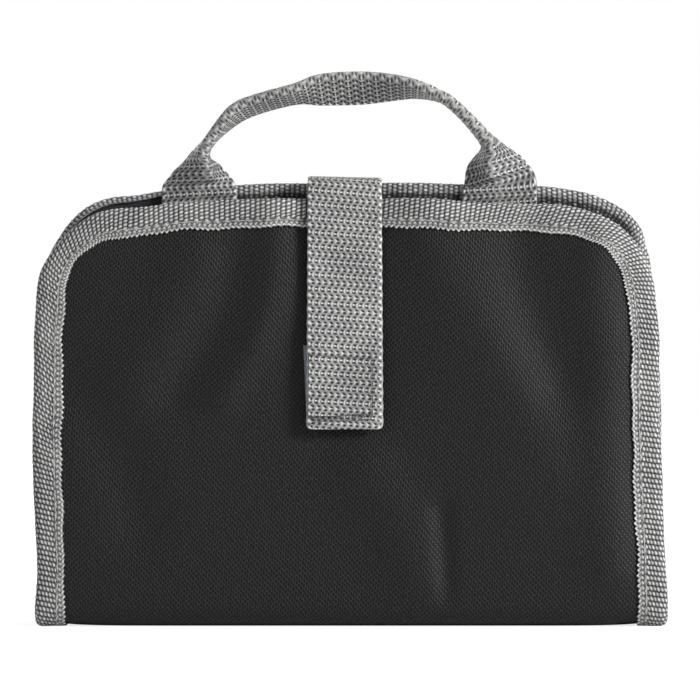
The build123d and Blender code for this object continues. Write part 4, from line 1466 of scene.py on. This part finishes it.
class BAG_OT_stage(bpy.types.Operator):
    """Pale floor, white sky, soft lamps and the camera"""

    bl_idname = "bag.stage"
    bl_label = "Stage"

    def execute(self, context):
        self.floor()
        self.lamps()
        self.camera()
        context.scene.view_settings.view_transform = "Standard"
        return {"FINISHED"}

    @staticmethod
    def floor():
        """A wide floor, made as bright to the camera as the sky behind it."""
        # Pale paper: even and dull, so that only the bag's soft shadow shows on it.
        material = bpy.data.materials.new("pale_floor")
        material.use_nodes = True
        tree = material.node_tree
        tree.nodes.clear()
        diffuse = add_node(tree, "BsdfDiffuse", {"Color": (0.86, 0.86, 0.86, 1)})
        glow = add_node(tree, "Emission", {"Color": (1, 1, 1, 1), "Strength": 1.42})
        seen = add_node(tree, "LightPath").outputs["Is Camera Ray"]
        share = add_node(tree, "Math", {0: seen, 1: 0.55}, operation="MULTIPLY")
        mix = add_node(tree, "MixShader", {0: share, 1: diffuse, 2: glow})
        add_node(tree, "OutputMaterial", {"Surface": mix})
        bpy.ops.mesh.primitive_plane_add(size=2.4, location=(0, 0, 0))
        floor = bpy.context.object
        floor.name = "floor"
        floor.data.materials.append(material)
        floor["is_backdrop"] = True

    @staticmethod
    def lamps():
        """A white sky, dimmer as light than to the camera's eye, and four soft lamps."""
        world = bpy.data.worlds.new("studio")
        bpy.context.scene.world = world
        world.use_nodes = True
        tree = world.node_tree
        tree.nodes.clear()
        seen = add_node(tree, "LightPath").outputs["Is Camera Ray"]
        strength = add_node(tree, "MapRange", {0: seen, 3: 0.2, 4: 1.0})
        sky = add_node(tree, "Background", {"Color": (1, 1, 1, 1), "Strength": strength})
        add_node(tree, "OutputWorld", {"Surface": sky})
        lamps = (
            ("key", (1.55, -0.75, 0.85), 0.5, 44.0),
            ("fill", (-1.3, -1.2, 0.7), 1.2, 5.0),
            ("top", (0.1, 0.2, 1.6), 0.9, 9.0),
            ("rear", (-0.7, 1.6, 0.7), 1.2, 16.0),
        )
        for name, place, size, power in lamps:
            light = bpy.data.lights.new(name, "AREA")
            light.size, light.energy = size, power
            lamp = bpy.data.objects.new(name, light)
            lamp.location = place
            to_bag = Vector((0, 0, 0.1)) - Vector(place)
            lamp.rotation_euler = to_bag.to_track_quat("-Z", "Y").to_euler()
            bpy.context.scene.collection.objects.link(lamp)

    @staticmethod
    def camera():
        """The photograph: 2.5 pixels to 1 mm at the bag, seen from the front and a little above."""
        distance, elevation, width = 2.4, radians(3.0), 0.28
        data = bpy.data.cameras.new("camera")
        data.sensor_width = 36.0
        data.lens = 36.0 * distance / width
        camera = bpy.data.objects.new("camera", data)
        target = Vector((0.0004, 0.0, 0.1098))
        camera.location = target + distance * Vector((0, -cos(elevation), sin(elevation)))
        camera.rotation_euler = (target - camera.location).to_track_quat("-Z", "Y").to_euler()
        bpy.context.scene.collection.objects.link(camera)
        bpy.context.scene.camera = camera


class BAG_PT_panel(bpy.types.Panel):
    """Lists the bag's pieces, sizes and colours"""

    bl_idname = "BAG_PT_panel"
    bl_label = "Toiletry bag"
    bl_space_type = "VIEW_3D"
    bl_region_type = "UI"
    bl_category = "Toiletry bag"

    def draw(self, context):
        for operator in OPERATORS:
            self.layout.operator(operator.bl_idname)
        for group in (context.scene.bag_sizes, context.scene.bag_colours):
            for name in group.bl_rna.properties.keys():
                if name not in ("name", "rna_type"):
                    self.layout.prop(group, name)


OPERATORS = (
    BAG_OT_foam,
    BAG_OT_cloth,
    BAG_OT_lining,
    BAG_OT_binding,
    BAG_OT_strap,
    BAG_OT_handle,
    BAG_OT_pockets,
    BAG_OT_zips,
    BAG_OT_stage,
)
CLASSES = (BagSizes, BagColours, *OPERATORS, BAG_PT_panel)


def register():
    for cls in CLASSES:
        bpy.utils.register_class(cls)
    bpy.types.Scene.bag_sizes = bpy.props.PointerProperty(type=BagSizes)
    bpy.types.Scene.bag_colours = bpy.props.PointerProperty(type=BagColours)


def unregister():
    del bpy.types.Scene.bag_colours
    del bpy.types.Scene.bag_sizes
    for cls in reversed(CLASSES):
        bpy.utils.unregister_class(cls)


def main():
    register()
    for operator in OPERATORS:
        module, name = operator.bl_idname.split(".")
        getattr(getattr(bpy.ops, module), name)()
    boxes = {"cad": CAD_BOX, "visual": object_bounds()}
    plain = {key: [[float(c) for c in corner] for corner in box] for key, box in boxes.items()}


if __name__ == "__main__":
    main()
